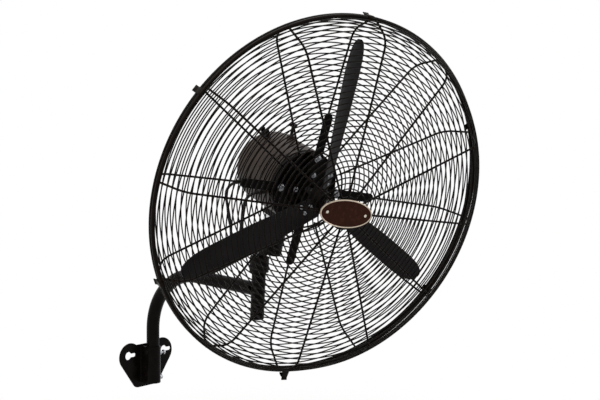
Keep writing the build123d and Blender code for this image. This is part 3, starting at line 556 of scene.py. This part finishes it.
# %% Disc and collar
disc_back = rim_plane - hub_depth - spoke_wire
disc_sheet = 1.66 * mm
disc_front = disc_back - disc_sheet
disc_outline = np.array(((0, disc_front), (31.5 * mm, disc_front),
                         (33.3 * mm, disc_front + 0.25 * mm), (34 * mm, disc_front + 1 * mm),
                         (33.8 * mm, disc_back + 1.2 * mm), (33.0 * mm, disc_back + 1.2 * mm),
                         (32.6 * mm, disc_back), (0, disc_back)))
piece("badge_disc", [turned_piece(disc_outline, 64, closed=False)], CAGE, sheet_enamel, "head",
      ["front_disc"])
collar_radius, collar_wire = 81 * mm, 1.9 * mm
collar_y = rim_plane + face_depth(collar_radius) - spoke_wire - collar_wire + weld_sink
piece("cage_rear_collar", [hoop(collar_radius, collar_y, collar_wire, 96, 12)], CAGE, enamel,
      "head", ["rear_collar"])

# %% [markdown]
# ## The badge
# An oval plate of lacquered sheet, slightly domed, in a raised metal edge, held by two round
# headed rivets. The dome is a grid in polar form: rings of an ellipse shrink to the middle while
# the surface rises.

# %% Plate of the badge


def oval(a, b, y, around=96):
    """Ring of an ellipse in the plane Y = y: (a sin t, y, b cos t)."""
    t = np.linspace(0, 2 * np.pi, around, endpoint=False)
    return np.stack((a * np.sin(t), np.full_like(t, y), b * np.cos(t)), -1)


oval_a, oval_b, oval_y, dome_rise = 58.1 * mm, 26.1 * mm, disc_front - 2.4 * mm, 0.7 * mm
least_share = 0.02
shares = np.linspace(1, least_share, 12)
dome = [oval(oval_a * s, oval_b * s, oval_y - dome_rise * (1 - s ** 2)) for s in shares]
rim_rows = [oval(oval_a * s, oval_b * s, disc_front) for s in (least_share, 1)]
piece("badge_face", [skin(np.array(rim_rows + dome))], CAGE, badge_red, "head",
      ["badge_plate"])

# %% Edge of the badge
edge_outline = rounded(((-1.2, 0), (1.2, 0), (1.2, -2.6), (0.5, -3.2), (-0.5, -3.2), (-1.2, -2.6)),
                       (0.2, 0.2, 0.3, 0.25, 0.25, 0.3), 3) * mm
t = np.linspace(0, 2 * np.pi, 128, endpoint=False)[:, None]
mid_a, mid_b = 59.3 * mm, 27.3 * mm
length = np.hypot(mid_b * np.sin(t), mid_a * np.cos(t))
edge = np.stack(((mid_a + 0 * t + edge_outline[:, 0] * mid_b / length) * np.sin(t),
                 disc_front + edge_outline[:, 1] + 0 * t,
                 (mid_b + 0 * t + edge_outline[:, 0] * mid_a / length) * np.cos(t)), -1)
piece("badge_edge", [skin(edge, True)], CAGE, badge_brass, "head", ["badge_bezel"])

# %% Rivets of the badge
button = np.array(((0, -1.2), (1.2, -1.15), (2.3, -0.8), (3.0, -0.3), (3.2, 0), (1.55, 0),
                   (1.5, 2), (0, 2))) * mm
rivet_from_middle = 45 * mm
rivet_points, rivet_faces = turned_piece(button, 24, closed=False)
rivets = [(rivet_points + (x, oval_y, 0), rivet_faces)
          for x in (-rivet_from_middle, rivet_from_middle)]
piece("badge_studs", rivets, CAGE, cream, "head", ["badge_rivets"])

# %% [markdown]
# ## Sheet and cast parts with broken edges
# A real pressing or casting never has a knife edge, and the glint along a rounded edge is what
# makes it look like metal. These solid parts have the right shape, so a copy of each is merged
# into one clean surface and gets a live Bevel modifier, which rounds only the edges sharper than
# 35 degrees. The part under it keeps its place and still does the colliding, hidden.

# %% Bevelled copies


def eased(node_name, body, slot, edge, material, crease=35):
    """Copy of a solid part, merged, with its sharp edges rounded to a width in millimetres."""
    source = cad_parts[node_name]
    mesh = source.data.copy()
    shape = bmesh.new()
    shape.from_mesh(mesh)
    bmesh.ops.remove_doubles(shape, verts=shape.verts, dist=1e-6)
    bmesh.ops.dissolve_limit(shape, angle_limit=radians(0.2), verts=shape.verts, edges=shape.edges)
    shape.to_mesh(mesh)
    shape.free()
    mesh.polygons.foreach_set("use_smooth", np.ones(len(mesh.polygons), bool))
    mesh.set_sharp_from_angle(angle=radians(crease))
    mesh.materials.clear()
    mesh.materials.append(material)
    made = bpy.data.objects.new(f"{node_name}_eased", mesh)
    bpy.context.scene.collection.objects.link(made)
    bevel = made.modifiers.new("edge", "BEVEL")
    bevel.width, bevel.segments, bevel.limit_method = edge * mm, 2, "ANGLE"
    bevel.angle_limit, bevel.harden_normals = radians(crease), True
    return settle(made, body, [node_name])


# solid part, its body, its slot, the width of its edges in millimetres, its finish
pressings = (("wall_plate", "wall_bracket", "black_paint", 0.9, sheet_enamel),
             ("socket_channel", "wall_bracket", "black_paint", 0.6, sheet_enamel),
             ("socket_back_strip", "wall_bracket", "black_paint", 0.4, sheet_enamel),
             ("socket_floor", "wall_bracket", "black_paint", 0.4, sheet_enamel),
             ("neck_collar", "arm", "cast_metal", 1.0, casting),
             ("tilt_yoke", "tilt_body", "cast_metal", 1.0, casting),
             ("saddle", "head", "cast_metal", 0.8, casting),
             ("spider", "head", "black_paint", 0.7, sheet_enamel),
             ("front_cover", "head", "black_paint", 0.8, sheet_enamel),
             ("motor_shell", "head", "drum_paint", 0.6, drum_paint),
             ("motor_clip", "head", "cast_metal", 0.7, casting),
             ("blade_hub", "rotor", "cast_metal", 0.8, casting),
             ("clutch_knob", "knob", "black_plastic", 0.4, plastic),
             ("motor_shaft", "rotor", "bright_steel", 0.4, turned_steel),
             ("link_rod", "link", "bright_steel", 0.3, zinc),
             ("crank", "crank", "bright_steel", 0.3, turned_steel))
for row in pressings:
    eased(*row)
print(len(pressings), "solid parts with eased edges")

# %% [markdown]
# ## Screws, bolts and nuts
# A hexagon head is turned after it is forged: a flat cone of 30 degrees takes its corners off,
# which leaves the curved edges that every real nut has. In polar form this is short: the hexagon
# is a radius that depends on the angle, and a corner ends lower the further out it is. The cover
# screws have round heads with a crossed slot. A boolean cut could make the slot, but four domed
# quarters with a gap between them have clean edges and far fewer faces.

# %% Hexagons and crossed heads
hexagon_turns = np.linspace(0, 2 * np.pi, 48, endpoint=False)


def hexagon_rows(flats, low, high, low_cone=False):
    """Rows of a hexagon bar with coned ends: r(t) = (flats/2) / cos(t folded to 30 degrees).

    A point of the last edge lies (r - flats/2) tan 30 degrees below the end, so the corners drop.
    """
    r = flats / 2 / np.cos((hexagon_turns + np.pi / 6) % (np.pi / 3) - np.pi / 6)
    drop = (r - flats / 2) * np.tan(np.pi / 6)
    inner = np.full_like(r, flats / 2 * 0.97)
    return [(inner, low), (r, low + drop * low_cone), (r, high - drop), (inner, high)]


def rows_grid(rows):
    """Grid of rows (radius, height): point (i, j) is (r_i cos t_j, r_i sin t_j, z_i)."""
    return np.array([np.stack((r * np.cos(hexagon_turns), r * np.sin(hexagon_turns),
                               z + 0 * hexagon_turns), -1) for r, z in rows])


def hexagon_bolt(flats, thick, shank, reach):
    """Bolt on the Z axis: the shank comes up from -reach to 0, the head stands on it."""
    rows = [(shank - 0.4, -reach), (shank, -reach + 0.4), (shank, 0)]
    rows += hexagon_rows(flats, 0, thick)
    rows += [(flats * 0.3, thick - 0.15), (0.1, thick - 0.15)]
    return skin(rows_grid(rows) * mm)


def hexagon_nut(flats, thick, bore):
    """Nut on the Z axis from 0 up: coned at both ends, with its bore chamfered."""
    rows = hexagon_rows(flats, 0, thick, True)
    rows += [(bore + 0.5, thick), (bore, thick - 0.5), (bore, 0.5), (bore + 0.5, 0)]
    return skin(rows_grid(rows) * mm, True)


def crossed_screw(radius, thick, shank, reach, slot):
    """Screw on the Z axis: a shank, a low disc, and four domed quarters with a cross between them.

    Row k of a quarter is its inner corner (g, g) and an arc of radius R_k from the slot's one edge
    to the other; R_k shrinks as the row rises, which makes the dome.
    """
    disc = [(shank, -reach), (shank, 0), (radius * 0.98, 0), (radius, thick * 0.12),
            (radius * 0.9, thick * 0.42), (0.1, thick * 0.42)]
    shells = [skin(rows_grid(disc) * mm)]
    half = slot / 2
    for quarter in range(4):
        rows = []
        for share, height in ((0.99, 0.1), (1, 0.35), (0.94, 0.62), (0.78, 0.86), (0.5, 1.0)):
            r = radius * share
            edge = asin(half / r)
            t = np.linspace(edge, np.pi / 2 - edge, 9)
            outline = np.vstack(((half, half), np.stack((r * np.cos(t), r * np.sin(t)), -1)))
            rows.append(np.insert(outline, 2, height * thick, axis=1))
        grid = placed(np.array(rows).reshape(-1, 3) * mm, turned("Z", 90 * quarter + 20))
        shells.append(skin(grid.reshape(5, 10, 3)))
    return shells


def washer(outer, inner, low, high):
    """Flat ring with broken edges about the Z axis."""
    outline = rounded(((inner, low), (outer, low), (outer, high), (inner, high)), 0.2, 3) * mm
    return turned_piece(outline, 40, "Z")


def set_at(shells, *places):
    """Copies of the shells carried by each of the places."""
    return [(placed(points, place), faces) for place in places for points, faces in shells]


# %% [markdown]
# ## Each fastener in its place
# A fastener is drawn upright on Z and laid along its own axis: to the right on the wall bracket
# and the neck, across the yoke for the tilt bolt, and towards the front on the motor and the
# blades. Sizes here are in millimetres: a clamp bolt's tip ends just clear of the arm's tube, and
# what a nut or head sits on is given by its distance from the middle.

# %% Bolts of the bracket, the neck and the tilt
outward, inward, frontward = turned("Y", 90), turned("Y", -90), turned("X", 90)
clamp_rows, clamp_tip, channel_face = ((0, 31.45), (-58.5, 22.95)), 15.7, 17.95
bolts = [set_at([hexagon_bolt(10, 4.2, 3, seat - clamp_tip)],
                moved(seat * mm, -tube_from_wall, z * mm) @ outward) for z, seat in clamp_rows]
piece("bracket_bolts", sum(bolts, []), WALL, zinc, "wall_bracket",
      ["clamp_bolts"])
nuts = set_at([hexagon_nut(10, 5, 3.2)],
              *[moved(channel_face * mm, -tube_from_wall, z * mm) @ outward
                for z, seat in clamp_rows])
piece("bracket_nuts", nuts, WALL, zinc, "wall_bracket", ["clamp_nuts"])
neck_face, neck_height = 21.1, 55.5
neck_bolt = set_at([hexagon_bolt(10, 4.9, 4, 5.6)],
                   moved(neck_face * mm, 0, neck_height * mm) @ outward)
piece("neck_bolt", neck_bolt, POST, zinc, "arm", ["collar_screw"])
cheek_face, washer_face = 14.35, 15.45
tilt_head = set_at([hexagon_bolt(17, 5.3, 5, 37)], moved(-washer_face * mm, 0, 0) @ inward)
tilt_head += set_at([washer(10.5, 5.2, 0.02, 1.0)], moved(-cheek_face * mm, 0, 0) @ inward)
piece("tilt_hexagon_bolt", tilt_head, TILT, zinc, "tilt_body", ["tilt_bolt"])
tilt_end = set_at([hexagon_nut(17, 8, 5.1)], moved(cheek_face * mm, 0, 0) @ outward)
piece("tilt_hexagon_nut", tilt_end, TILT, zinc, "tilt_body", ["tilt_nut"])

# %% Screws of the cover
spider_reach, spider_sheet = 162 * mm, 3.06 * mm
spider_face = rim_plane + face_depth(spider_reach) - spoke_wire - spider_sheet
cover_screws = (("cover_screws_large", 68, (6.6, 3.4, 3, 11, 1.3), "spider_screws"),
                ("cover_screws_small", 33, (4.6, 2.6, 2, 11, 0.9), "centre_screws"))
for name, circle_radius, size, stands in cover_screws:
    seats = [turned("Y", 90 * quarter) @ moved(0, spider_face, circle_radius * mm) @ frontward
             for quarter in range(4)]
    plain_washer = washer(size[0] + 1.2, size[2] + 0.3, 0.02, 0.6)
    heads = set_at(crossed_screw(*size) + [plain_washer], *seats)
    piece(name, heads, CAGE, zinc, "head", [stands])

# %% Screws of the blades
blade_y, sheet_half, root_pitch = rim_plane + 4 * mm, 1 * mm, 34
blade_holes = ((0, 32), (-6.5, 50), (6.5, 50))
seats = [turned("Y", 120 * number) @ moved(0, blade_y, 0) @ turned("Z", root_pitch)
         @ moved(across * mm, -sheet_half, out * mm) @ frontward
         for number in range(3) for across, out in blade_holes]
piece("blade_screws", set_at(crossed_screw(4.4, 2.6, 2.5, 7, 0.8), *seats), HEAD, zinc, "rotor",
      ["blade_bolts"])

# %% [markdown]
# ## Weld seams
# The socket is welded to the wall plate, and the arm's end to the post. A weld is a row of small
# overlapping puddles. Seen from above it is a round bead whose radius swells once for each
# puddle, so it is a tube along the seam with a rippled radius. The arm meets the post where two
# equal tubes cross: each point at angle t on the arm's tube lies R |cos t| behind the post's axis.

# %% Rippled beads


def weld_seam(path, outwards, radius, puddle):
    """Tube along a path: point (i, j) is p_i + r_i (cos a_j O_i + sin a_j T_i x O_i).

    O is the outward direction, T the path's own, and r_i = r (0.86 + 0.14 |sin|) of the run.
    """
    step = np.linalg.norm(np.diff(path, axis=0), axis=1)
    run = np.concatenate(([0], np.cumsum(step)))
    along = np.gradient(path, axis=0)
    along /= np.linalg.norm(along, axis=1)[:, None]
    out = outwards - (outwards * along).sum(1)[:, None] * along
    out /= np.linalg.norm(out, axis=1)[:, None]
    beside = np.cross(along, out)
    r = radius * (0.86 + 0.14 * np.abs(np.sin(np.pi * run / puddle)))
    a = np.linspace(0, 2 * np.pi, 10, endpoint=False)
    return skin(path[:, None] + r[:, None, None] * (np.cos(a)[None, :, None] * out[:, None]
                                                    + np.sin(a)[None, :, None] * beside[:, None]))


# %% Seams of the socket and the post
tube_radius, tube_wall, seam_x, seam_y = 15.25 * mm, 2 * mm, 17.9 * mm, -4.1 * mm
height = np.linspace(-67 * mm, 18.5 * mm, 150)
seams = []
for side in (-1, 1):
    path = np.stack((0 * height + side * seam_x, 0 * height + seam_y, height), -1)
    outwards = np.tile((side * 0.7, -0.7, 0.0), (len(path), 1))
    seams.append(weld_seam(path, outwards, 1.7 * mm, 3 * mm))
piece("socket_welds", seams, WALL, sheet_enamel, "wall_bracket")
t = np.linspace(0, 2 * np.pi, 240)
crossing = np.stack((np.sin(t), np.sqrt(np.cos(t) ** 2 + 0.003), np.cos(t)), -1)
post_seam = weld_seam(crossing * (tube_radius + 0.05 * mm), crossing, 1.9 * mm, 3.4 * mm)
piece("post_weld", [post_seam], POST, sheet_enamel, "arm")

# %% [markdown]
# ## Seam of the motor's cover
# The cover is a pressing whose edge is curled over the drum, and a second, thin bead runs round
# its face. Both are hoops about the fan axis.

# %% Cover beads
cover_face = -68 * mm
beads = [hoop(74.6 * mm, cover_face, 1.0 * mm, 128, 10),
         hoop(43.5 * mm, cover_face, 0.8 * mm, 96, 8)]
piece("cover_beads", beads, HEAD, enamel, "head")

# %% [markdown]
# ## The blades
# A blade is thin sheet, twisted so that its root bites harder than its tip, with a slight hollow
# towards the front, where it pushes the air. On a grid, one direction runs along the blade, the
# other runs once round its section, so both faces and the rounded edges are one closed skin.

# %% Shape of a blade
tip_radius, root_radius, wide_to = 325 * mm, 26 * mm, 240 * mm
width_places, half_widths = np.array(((26, 60, 100, 160), (19.5, 21, 23.2, 26.4))) * mm
chord_shift, tip_power = -4.5 * mm, 2.6
twist_places, pitches = np.array((26, 72, 325)) * mm, (root_pitch, root_pitch, 19)
hollow_depth, hollow_from, hollow_over = 3.2 * mm, 90 * mm, 90 * mm


def blade_width(radius):
    """Half width: it widens from 19.5 to 26.4 mm, then closes at the tip as (1 - s^p)^(1/p)."""
    body = np.interp(radius, width_places, half_widths)
    share = np.clip((radius - wide_to) / (tip_radius - wide_to), 0, 1)
    return body * (1 - share ** tip_power) ** (1 / tip_power)


def blade_shell(turn):
    """One blade: chord points turned by the pitch at each radius, thickness round the section.

    Round the section, s runs 0..2pi: across = w cos s, and the height is h sin s, squared off so
    that it is flat over most of the width. The hollow adds c (1 - (across/w)^2).
    """
    radius = root_radius + (tip_radius - root_radius) * np.sin(np.linspace(0, np.pi / 2, 56))
    width = np.maximum(blade_width(radius), 0.6 * mm)[:, None]
    pitch = np.radians(np.interp(radius, twist_places, pitches))[:, None]
    s = np.linspace(0, 2 * np.pi, 36, endpoint=False)[None, :]
    across = width * np.sign(np.cos(s)) * np.abs(np.cos(s)) ** 0.6
    height = sheet_half * np.sign(np.sin(s)) * np.minimum(1, 3 * np.abs(np.sin(s)))
    hollow = hollow_depth * np.clip((radius - hollow_from) / hollow_over, 0, 1)[:, None]
    height = height + hollow * (1 - (across / width) ** 2)
    across = across + chord_shift
    x = across * np.cos(pitch) - height * np.sin(pitch)
    y = across * np.sin(pitch) + height * np.cos(pitch) + blade_y
    grid = np.stack((x, y, radius[:, None] + 0 * x), -1)
    return skin(placed(grid.reshape(-1, 3), turned("Y", turn)).reshape(grid.shape))


# %% The three blades
for number in range(3):
    piece(f"fan_blade_{number + 1}", [blade_shell(number * 120)], HEAD, blade_enamel, "rotor",
          [f"blade_{number + 1}"])

# %% [markdown]
# ## The bent arm and the post
# One tube leaves the wall socket upright, turns forward in a wide bend and meets the post. The
# bend is the arc of the tube bender's former, so the path is two straight runs and an arc, and
# many sides keep its outline round where it stands against the pale background.

# %% Arm and post
tube_foot, arm_bend = -64.6 * mm, 140 * mm
droop_slope = np.tan(radians(arm_droop))
elbow_height = arm_level + arm_reach * droop_slope
arm_line = bent((0, -tube_from_wall, tube_foot), (0, -tube_from_wall, elbow_height),
                (0, post_y, arm_level), arm_bend, 48)


def hollow_tube(path, across, outer, inner, sides=40):
    """Tube with a wall: the outer skin runs out, and the inner one comes back along the path."""
    skin_out = carry(path, across, circle(outer, sides))
    skin_in = carry(path, across, circle(inner, sides))[::-1]
    return skin(np.concatenate((skin_out, skin_in)), True)


butt = arm_line[-1] + (0, tube_radius, tube_radius * droop_slope)
arm_path = np.vstack((arm_line[:-1], butt))
piece("bent_arm", [hollow_tube(arm_path, (1, 0, 0), tube_radius, tube_radius - tube_wall)], WALL,
      sheet_enamel, "arm", ["arm_tube"])
post_foot = -63
post_path = np.array(((0, 0, post_foot), (0, 0, -30), (0, 0, 30), (0, 0, 66.6))) * mm
piece("post_pipe", [hollow_tube(post_path, (1, 0, 0), tube_radius, tube_radius - tube_wall)], POST,
      sheet_enamel, "arm", ["post_tube"])
plug_outline = np.array(((0, -2.6), (9, -2.6), (13, -2.3), (14.9, -1.2), (15.25, 0), (13.2, 0.1),
                         (13.1, 13), (0, 13))) * mm + (0, post_foot * mm)
piece("post_end_plug", [turned_piece(plug_outline, 40, "Z", False)], POST, plastic, "arm",
      ["post_plug"])

# %% [markdown]
# ## The motor lead
# A short rubber lead leaves the motor on one side, hangs under it in a loop and goes back in
# behind. A cord is one smooth curve, so it is a NURBS spline through the middle of its route,
# given a round bevel, and never a chain of straight pieces. Where it enters each gland a ribbed
# sleeve keeps it from kinking.

# %% Lead


def beside_drum(angle, radius, y):
    """Point beside the motor at an angle about the fan axis from its top, in millimetres."""
    return np.array((radius * sin(radians(angle)), y, radius * cos(radians(angle))))


lead_radius = 3 * mm
front_gland, rear_gland = (255, -44), (250, 50)    # angle about the fan axis, and Y
loop = ((-108, -43, -33), (-113, -41, -41), (-114, -39, -51), (-111, -34, -69), (-102, -26, -97),
        (-95, -16, -128), (-87, -5, -156), (-82, 4, -177), (-79, 11, -187), (-76, 23, -192),
        (-73, 36, -190), (-72, 46, -181), (-73, 50, -167), (-78, 51, -143), (-86, 52, -116),
        (-98, 52, -89), (-108, 51, -65), (-110, 51, -54), (-106, 50, -43))
way_out = [beside_drum(front_gland[0], out, front_gland[1]) for out in (86.5, 95.4, 104.5)]
way_in = [beside_drum(rear_gland[0], out, rear_gland[1]) for out in (105.4, 95.4, 86.5)]
route = placed(np.array([*way_out, *loop, *way_in]) * mm, HEAD)
line = bpy.data.curves.new("motor_flex", "CURVE")
line.dimensions, line.bevel_depth = "3D", lead_radius
line.bevel_resolution, line.resolution_u = 6, 8
spline = line.splines.new("NURBS")
spline.points.add(len(route) - 1)
spline.points.foreach_set("co", np.hstack((route, np.ones((len(route), 1)))).ravel())
spline.order_u, spline.use_endpoint_u = 3, True
line.use_fill_caps = True
line.materials.append(rubber)
flex = bpy.data.objects.new("motor_flex", line)
bpy.context.scene.collection.objects.link(flex)
settle(flex, "head", ["motor_lead"])

# %% Sleeves of the lead
ribs = np.arange(5) * 3.2
sleeve = [(0, 74), (6.4, 74), (6.4, 80.5), (6.0, 81)]
sleeve += [point for rib in ribs for point in
           ((5.9 - rib * 0.12, 82 + rib), (5.9 - rib * 0.12, 83.6 + rib),
            (4.9 - rib * 0.09, 84 + rib), (4.9 - rib * 0.09, 84.9 + rib))]
sleeve += [(3.2, 98.5), (0, 98.5)]
sleeves = set_at([turned_piece(np.array(sleeve) * mm, 24, "Z", False)],
                 *[moved(0, y * mm, 0) @ turned("Y", angle)
                   for angle, y in (front_gland, rear_gland)])
piece("lead_sleeves", sleeves, HEAD, rubber, "head", ["lead_glands"])

# %% [markdown]
# ## The latches
# Six spring steel latches hold the cage halves together. Each is one strap: its eye is curled
# round the front rim's wire, it runs over the rear rim and hooks behind it, and a lip stands out
# for the finger. The strap's section, a flat bar with rounded edges, is carried along that line.

# %% Line and section of a latch


def arc(radius, first, last, steps):
    """Points of a circle from one angle to another, in degrees: (r cos t, r sin t)."""
    t = np.radians(np.linspace(first, last, steps))
    return radius * np.stack((np.cos(t), np.sin(t)), -1)


def flat(points):
    """Points (x, y) of the latch's own plane as (0, x, y): x to the rear, y outwards."""
    return np.insert(np.asarray(points, float), 0, 0, axis=1)


latch_count, open_latch, open_angle, latch_shift = 6, 4, 78, -2
strap_radius, hook_radius = 4.95, 15.25
strap_corner = np.array((hook_radius * cos(asin(strap_radius / hook_radius)), strap_radius))
corner_in, corner_out = strap_corner - (1.8, 0), arc(hook_radius, 11, 11, 1)[0]
blend = np.linspace(0, 1, 6)[:, None]
knuckle = ((1 - blend) ** 2 * corner_in + 2 * blend * (1 - blend) * strap_corner
           + blend ** 2 * corner_out)
strap_line = np.vstack((arc(strap_radius, 430, 92, 40), (4, strap_radius), knuckle,
                        arc(hook_radius, 8, -32, 10)))
lip_line = np.array(((14.6, 0), (18, 0), (20.6, 0.3), (21.9, 1.0)))
lean = radians(degrees(asin(5.6 / 15.9)) - 3)
lip_line = lip_line @ np.array(((cos(lean), sin(lean)), (-sin(lean), cos(lean))))
strap_outline = rounded(((-0.65, -6.5), (0.65, -6.5), (0.65, 6.5), (-0.65, 6.5)), 0.45, 3)
strap_shells = [skin(carry(flat(path) * mm, (1, 0, 0), strap_outline * mm))
                for path in (strap_line, lip_line)]

# %% The six latches
for number in range(1, latch_count + 1):
    opened = turned("X", open_angle if number == open_latch else 0)
    around = (number - 1) * 360 / latch_count + latch_shift
    seat = turned("Y", around) @ moved(0, rim_plane - rim_gap, rim_radius) @ opened
    piece(f"cage_latch_{number}", set_at(strap_shells, seat), CAGE, enamel, f"latch_{number}",
          [f"latch_{number}"])

# %% [markdown]
# ## Floor
# The photograph has a plain white ground. Here that is a pale floor well below the fan, which
# takes its soft shadow. It is a disc of rings; near its middle it is a matt surface, and further
# out it turns into the same white as the background, so that no edge of it shows. The change
# follows Object coordinates, so it stays on the floor from every side.

# %% Disc of the floor
floor_height, fan_middle_y, floor_sides = -0.26, -0.42, 96
floor_rings = np.array((0.02, 0.3, 0.8, 1.6, 3.2))[:, None]
t = np.linspace(0, 2 * np.pi, floor_sides, endpoint=False)[None, :]
disc = np.stack((floor_rings * np.cos(t), floor_rings * np.sin(t) + fan_middle_y,
                 np.full_like(floor_rings * t, floor_height)), -1)
floor_mesh = bpy.data.meshes.new("floor")
inner = np.arange((len(floor_rings) - 1) * floor_sides).reshape(-1, floor_sides)
ahead = np.roll(inner, -1, 1)
quads = np.stack((inner, inner + floor_sides, ahead + floor_sides, ahead), -1)
floor_mesh.from_pydata(disc.reshape(-1, 3).tolist(), [],
                       quads.reshape(-1, 4).tolist() + [list(range(floor_sides))])
floor = bpy.data.objects.new("floor", floor_mesh)
bpy.context.scene.collection.objects.link(floor)
floor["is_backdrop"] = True


def white_where_seen(tree):
    """1 for what the camera, a mirror or a glass sees directly, 0 for light on other things."""
    rays = node(tree, "ShaderNodeLightPath")
    first = node(tree, "ShaderNodeMath", operation="MAXIMUM")
    second = node(tree, "ShaderNodeMath", operation="MAXIMUM")
    tree.links.new(rays.outputs["Is Glossy Ray"], first.inputs[0])
    tree.links.new(rays.outputs["Is Transmission Ray"], first.inputs[1])
    tree.links.new(rays.outputs["Is Camera Ray"], second.inputs[0])
    tree.links.new(first.outputs[0], second.inputs[1])
    return second.outputs[0]


# %% Paper of the floor
paper = bpy.data.materials.new("pale_floor")
paper.use_nodes = True
tree = paper.node_tree
matt = tree.nodes["Principled BSDF"]
matt.inputs["Roughness"].default_value = 1.0
matt.inputs["Specular IOR Level"].default_value = 0.0
speckle = node(tree, "ShaderNodeTexNoise", Scale=40.0, Detail=3.0)
where = node(tree, "ShaderNodeTexCoord")
tree.links.new(where.outputs["Object"], speckle.inputs["Vector"])
tone = node(tree, "ShaderNodeValToRGB")
tone.color_ramp.elements[0].color = (0.84, 0.84, 0.84, 1)
tone.color_ramp.elements[1].color = (0.88, 0.88, 0.88, 1)
tree.links.new(speckle.outputs["Fac"], tone.inputs["Fac"])
tree.links.new(tone.outputs["Color"], matt.inputs["Base Color"])
from_middle = node(tree, "ShaderNodeVectorMath", operation="DISTANCE")
from_middle.inputs[1].default_value = (0, fan_middle_y, floor_height)
tree.links.new(where.outputs["Object"], from_middle.inputs[0])
fade = node(tree, "ShaderNodeMapRange", interpolation_type="SMOOTHSTEP")
for key, value in (("From Min", 0.35), ("From Max", 1.1), ("To Min", 0.55), ("To Max", 1.0)):
    fade.inputs[key].default_value = value
tree.links.new(from_middle.outputs["Value"], fade.inputs["Value"])
share = node(tree, "ShaderNodeMath", operation="MULTIPLY")
tree.links.new(fade.outputs["Result"], share.inputs[0])
tree.links.new(white_where_seen(tree), share.inputs[1])
white = node(tree, "ShaderNodeEmission", Strength=1.0)
blend = node(tree, "ShaderNodeMixShader")
tree.links.new(share.outputs[0], blend.inputs[0])
tree.links.new(matt.outputs[0], blend.inputs[1])
tree.links.new(white.outputs[0], blend.inputs[2])
clear = node(tree, "ShaderNodeBsdfTransparent")
under = node(tree, "ShaderNodeNewGeometry")
one_sided = node(tree, "ShaderNodeMixShader")
tree.links.new(under.outputs["Backfacing"], one_sided.inputs[0])
tree.links.new(blend.outputs[0], one_sided.inputs[1])
tree.links.new(clear.outputs[0], one_sided.inputs[2])
tree.links.new(one_sided.outputs[0], tree.nodes["Material Output"].inputs["Surface"])
floor_mesh.materials.append(paper)
print("floor at", floor_height, "m")

# %% [markdown]
# ## Light
# A white studio lights the fan from all round, which the world does at about half strength, and
# three large soft lamps add shape: a key from the left and above, one from the right, and one
# overhead. What the camera and the gloss see of the world is plain white, as in the photograph.

# %% Lamps


def soft_box(name, where, towards, size, power, colour=(1, 1, 1)):
    """Square lamp that looks at a point: its back is turned along the line away from it."""
    data = bpy.data.lights.new(name, "AREA")
    data.size, data.energy, data.color = size, power, colour
    lamp = bpy.data.objects.new(name, data)
    away = Vector(where) - Vector(towards)
    lamp.location = where
    lamp.rotation_euler = away.to_track_quat("Z", "Y").to_euler()
    bpy.context.scene.collection.objects.link(lamp)


middle = (0, fan_middle_y, 0.35)
soft_box("key", (-2.2, -0.6, 2.4), middle, 1.6, 48, (1.0, 0.95, 0.89))
soft_box("side", (1.6, -2.4, 1.2), middle, 1.4, 20)
soft_box("overhead", (0.2, -0.4, 2.6), middle, 2.2, 26)

# %% World
world = bpy.data.worlds.new("studio")
world.use_nodes = True
tree = world.node_tree
background = tree.nodes["Background"]
background.inputs["Color"].default_value = (1, 1, 1, 1)
strength = node(tree, "ShaderNodeMapRange")
strength.inputs["To Min"].default_value, strength.inputs["To Max"].default_value = 0.5, 1.0
tree.links.new(white_where_seen(tree), strength.inputs["Value"])
tree.links.new(strength.outputs["Result"], background.inputs["Strength"])
bpy.context.scene.world = world
bpy.context.scene.view_settings.view_transform = "Standard"

# %% [markdown]
# ## Size
# The boxes of the solid fan and of the dressed fan are printed one under the other.

# %% Sizes and the last line
dressed_box = [list(corner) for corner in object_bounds()]
for name, box in (("solid", solid_box), ("dressed", dressed_box)):
    print(name, "box", np.round(box, 4).tolist())
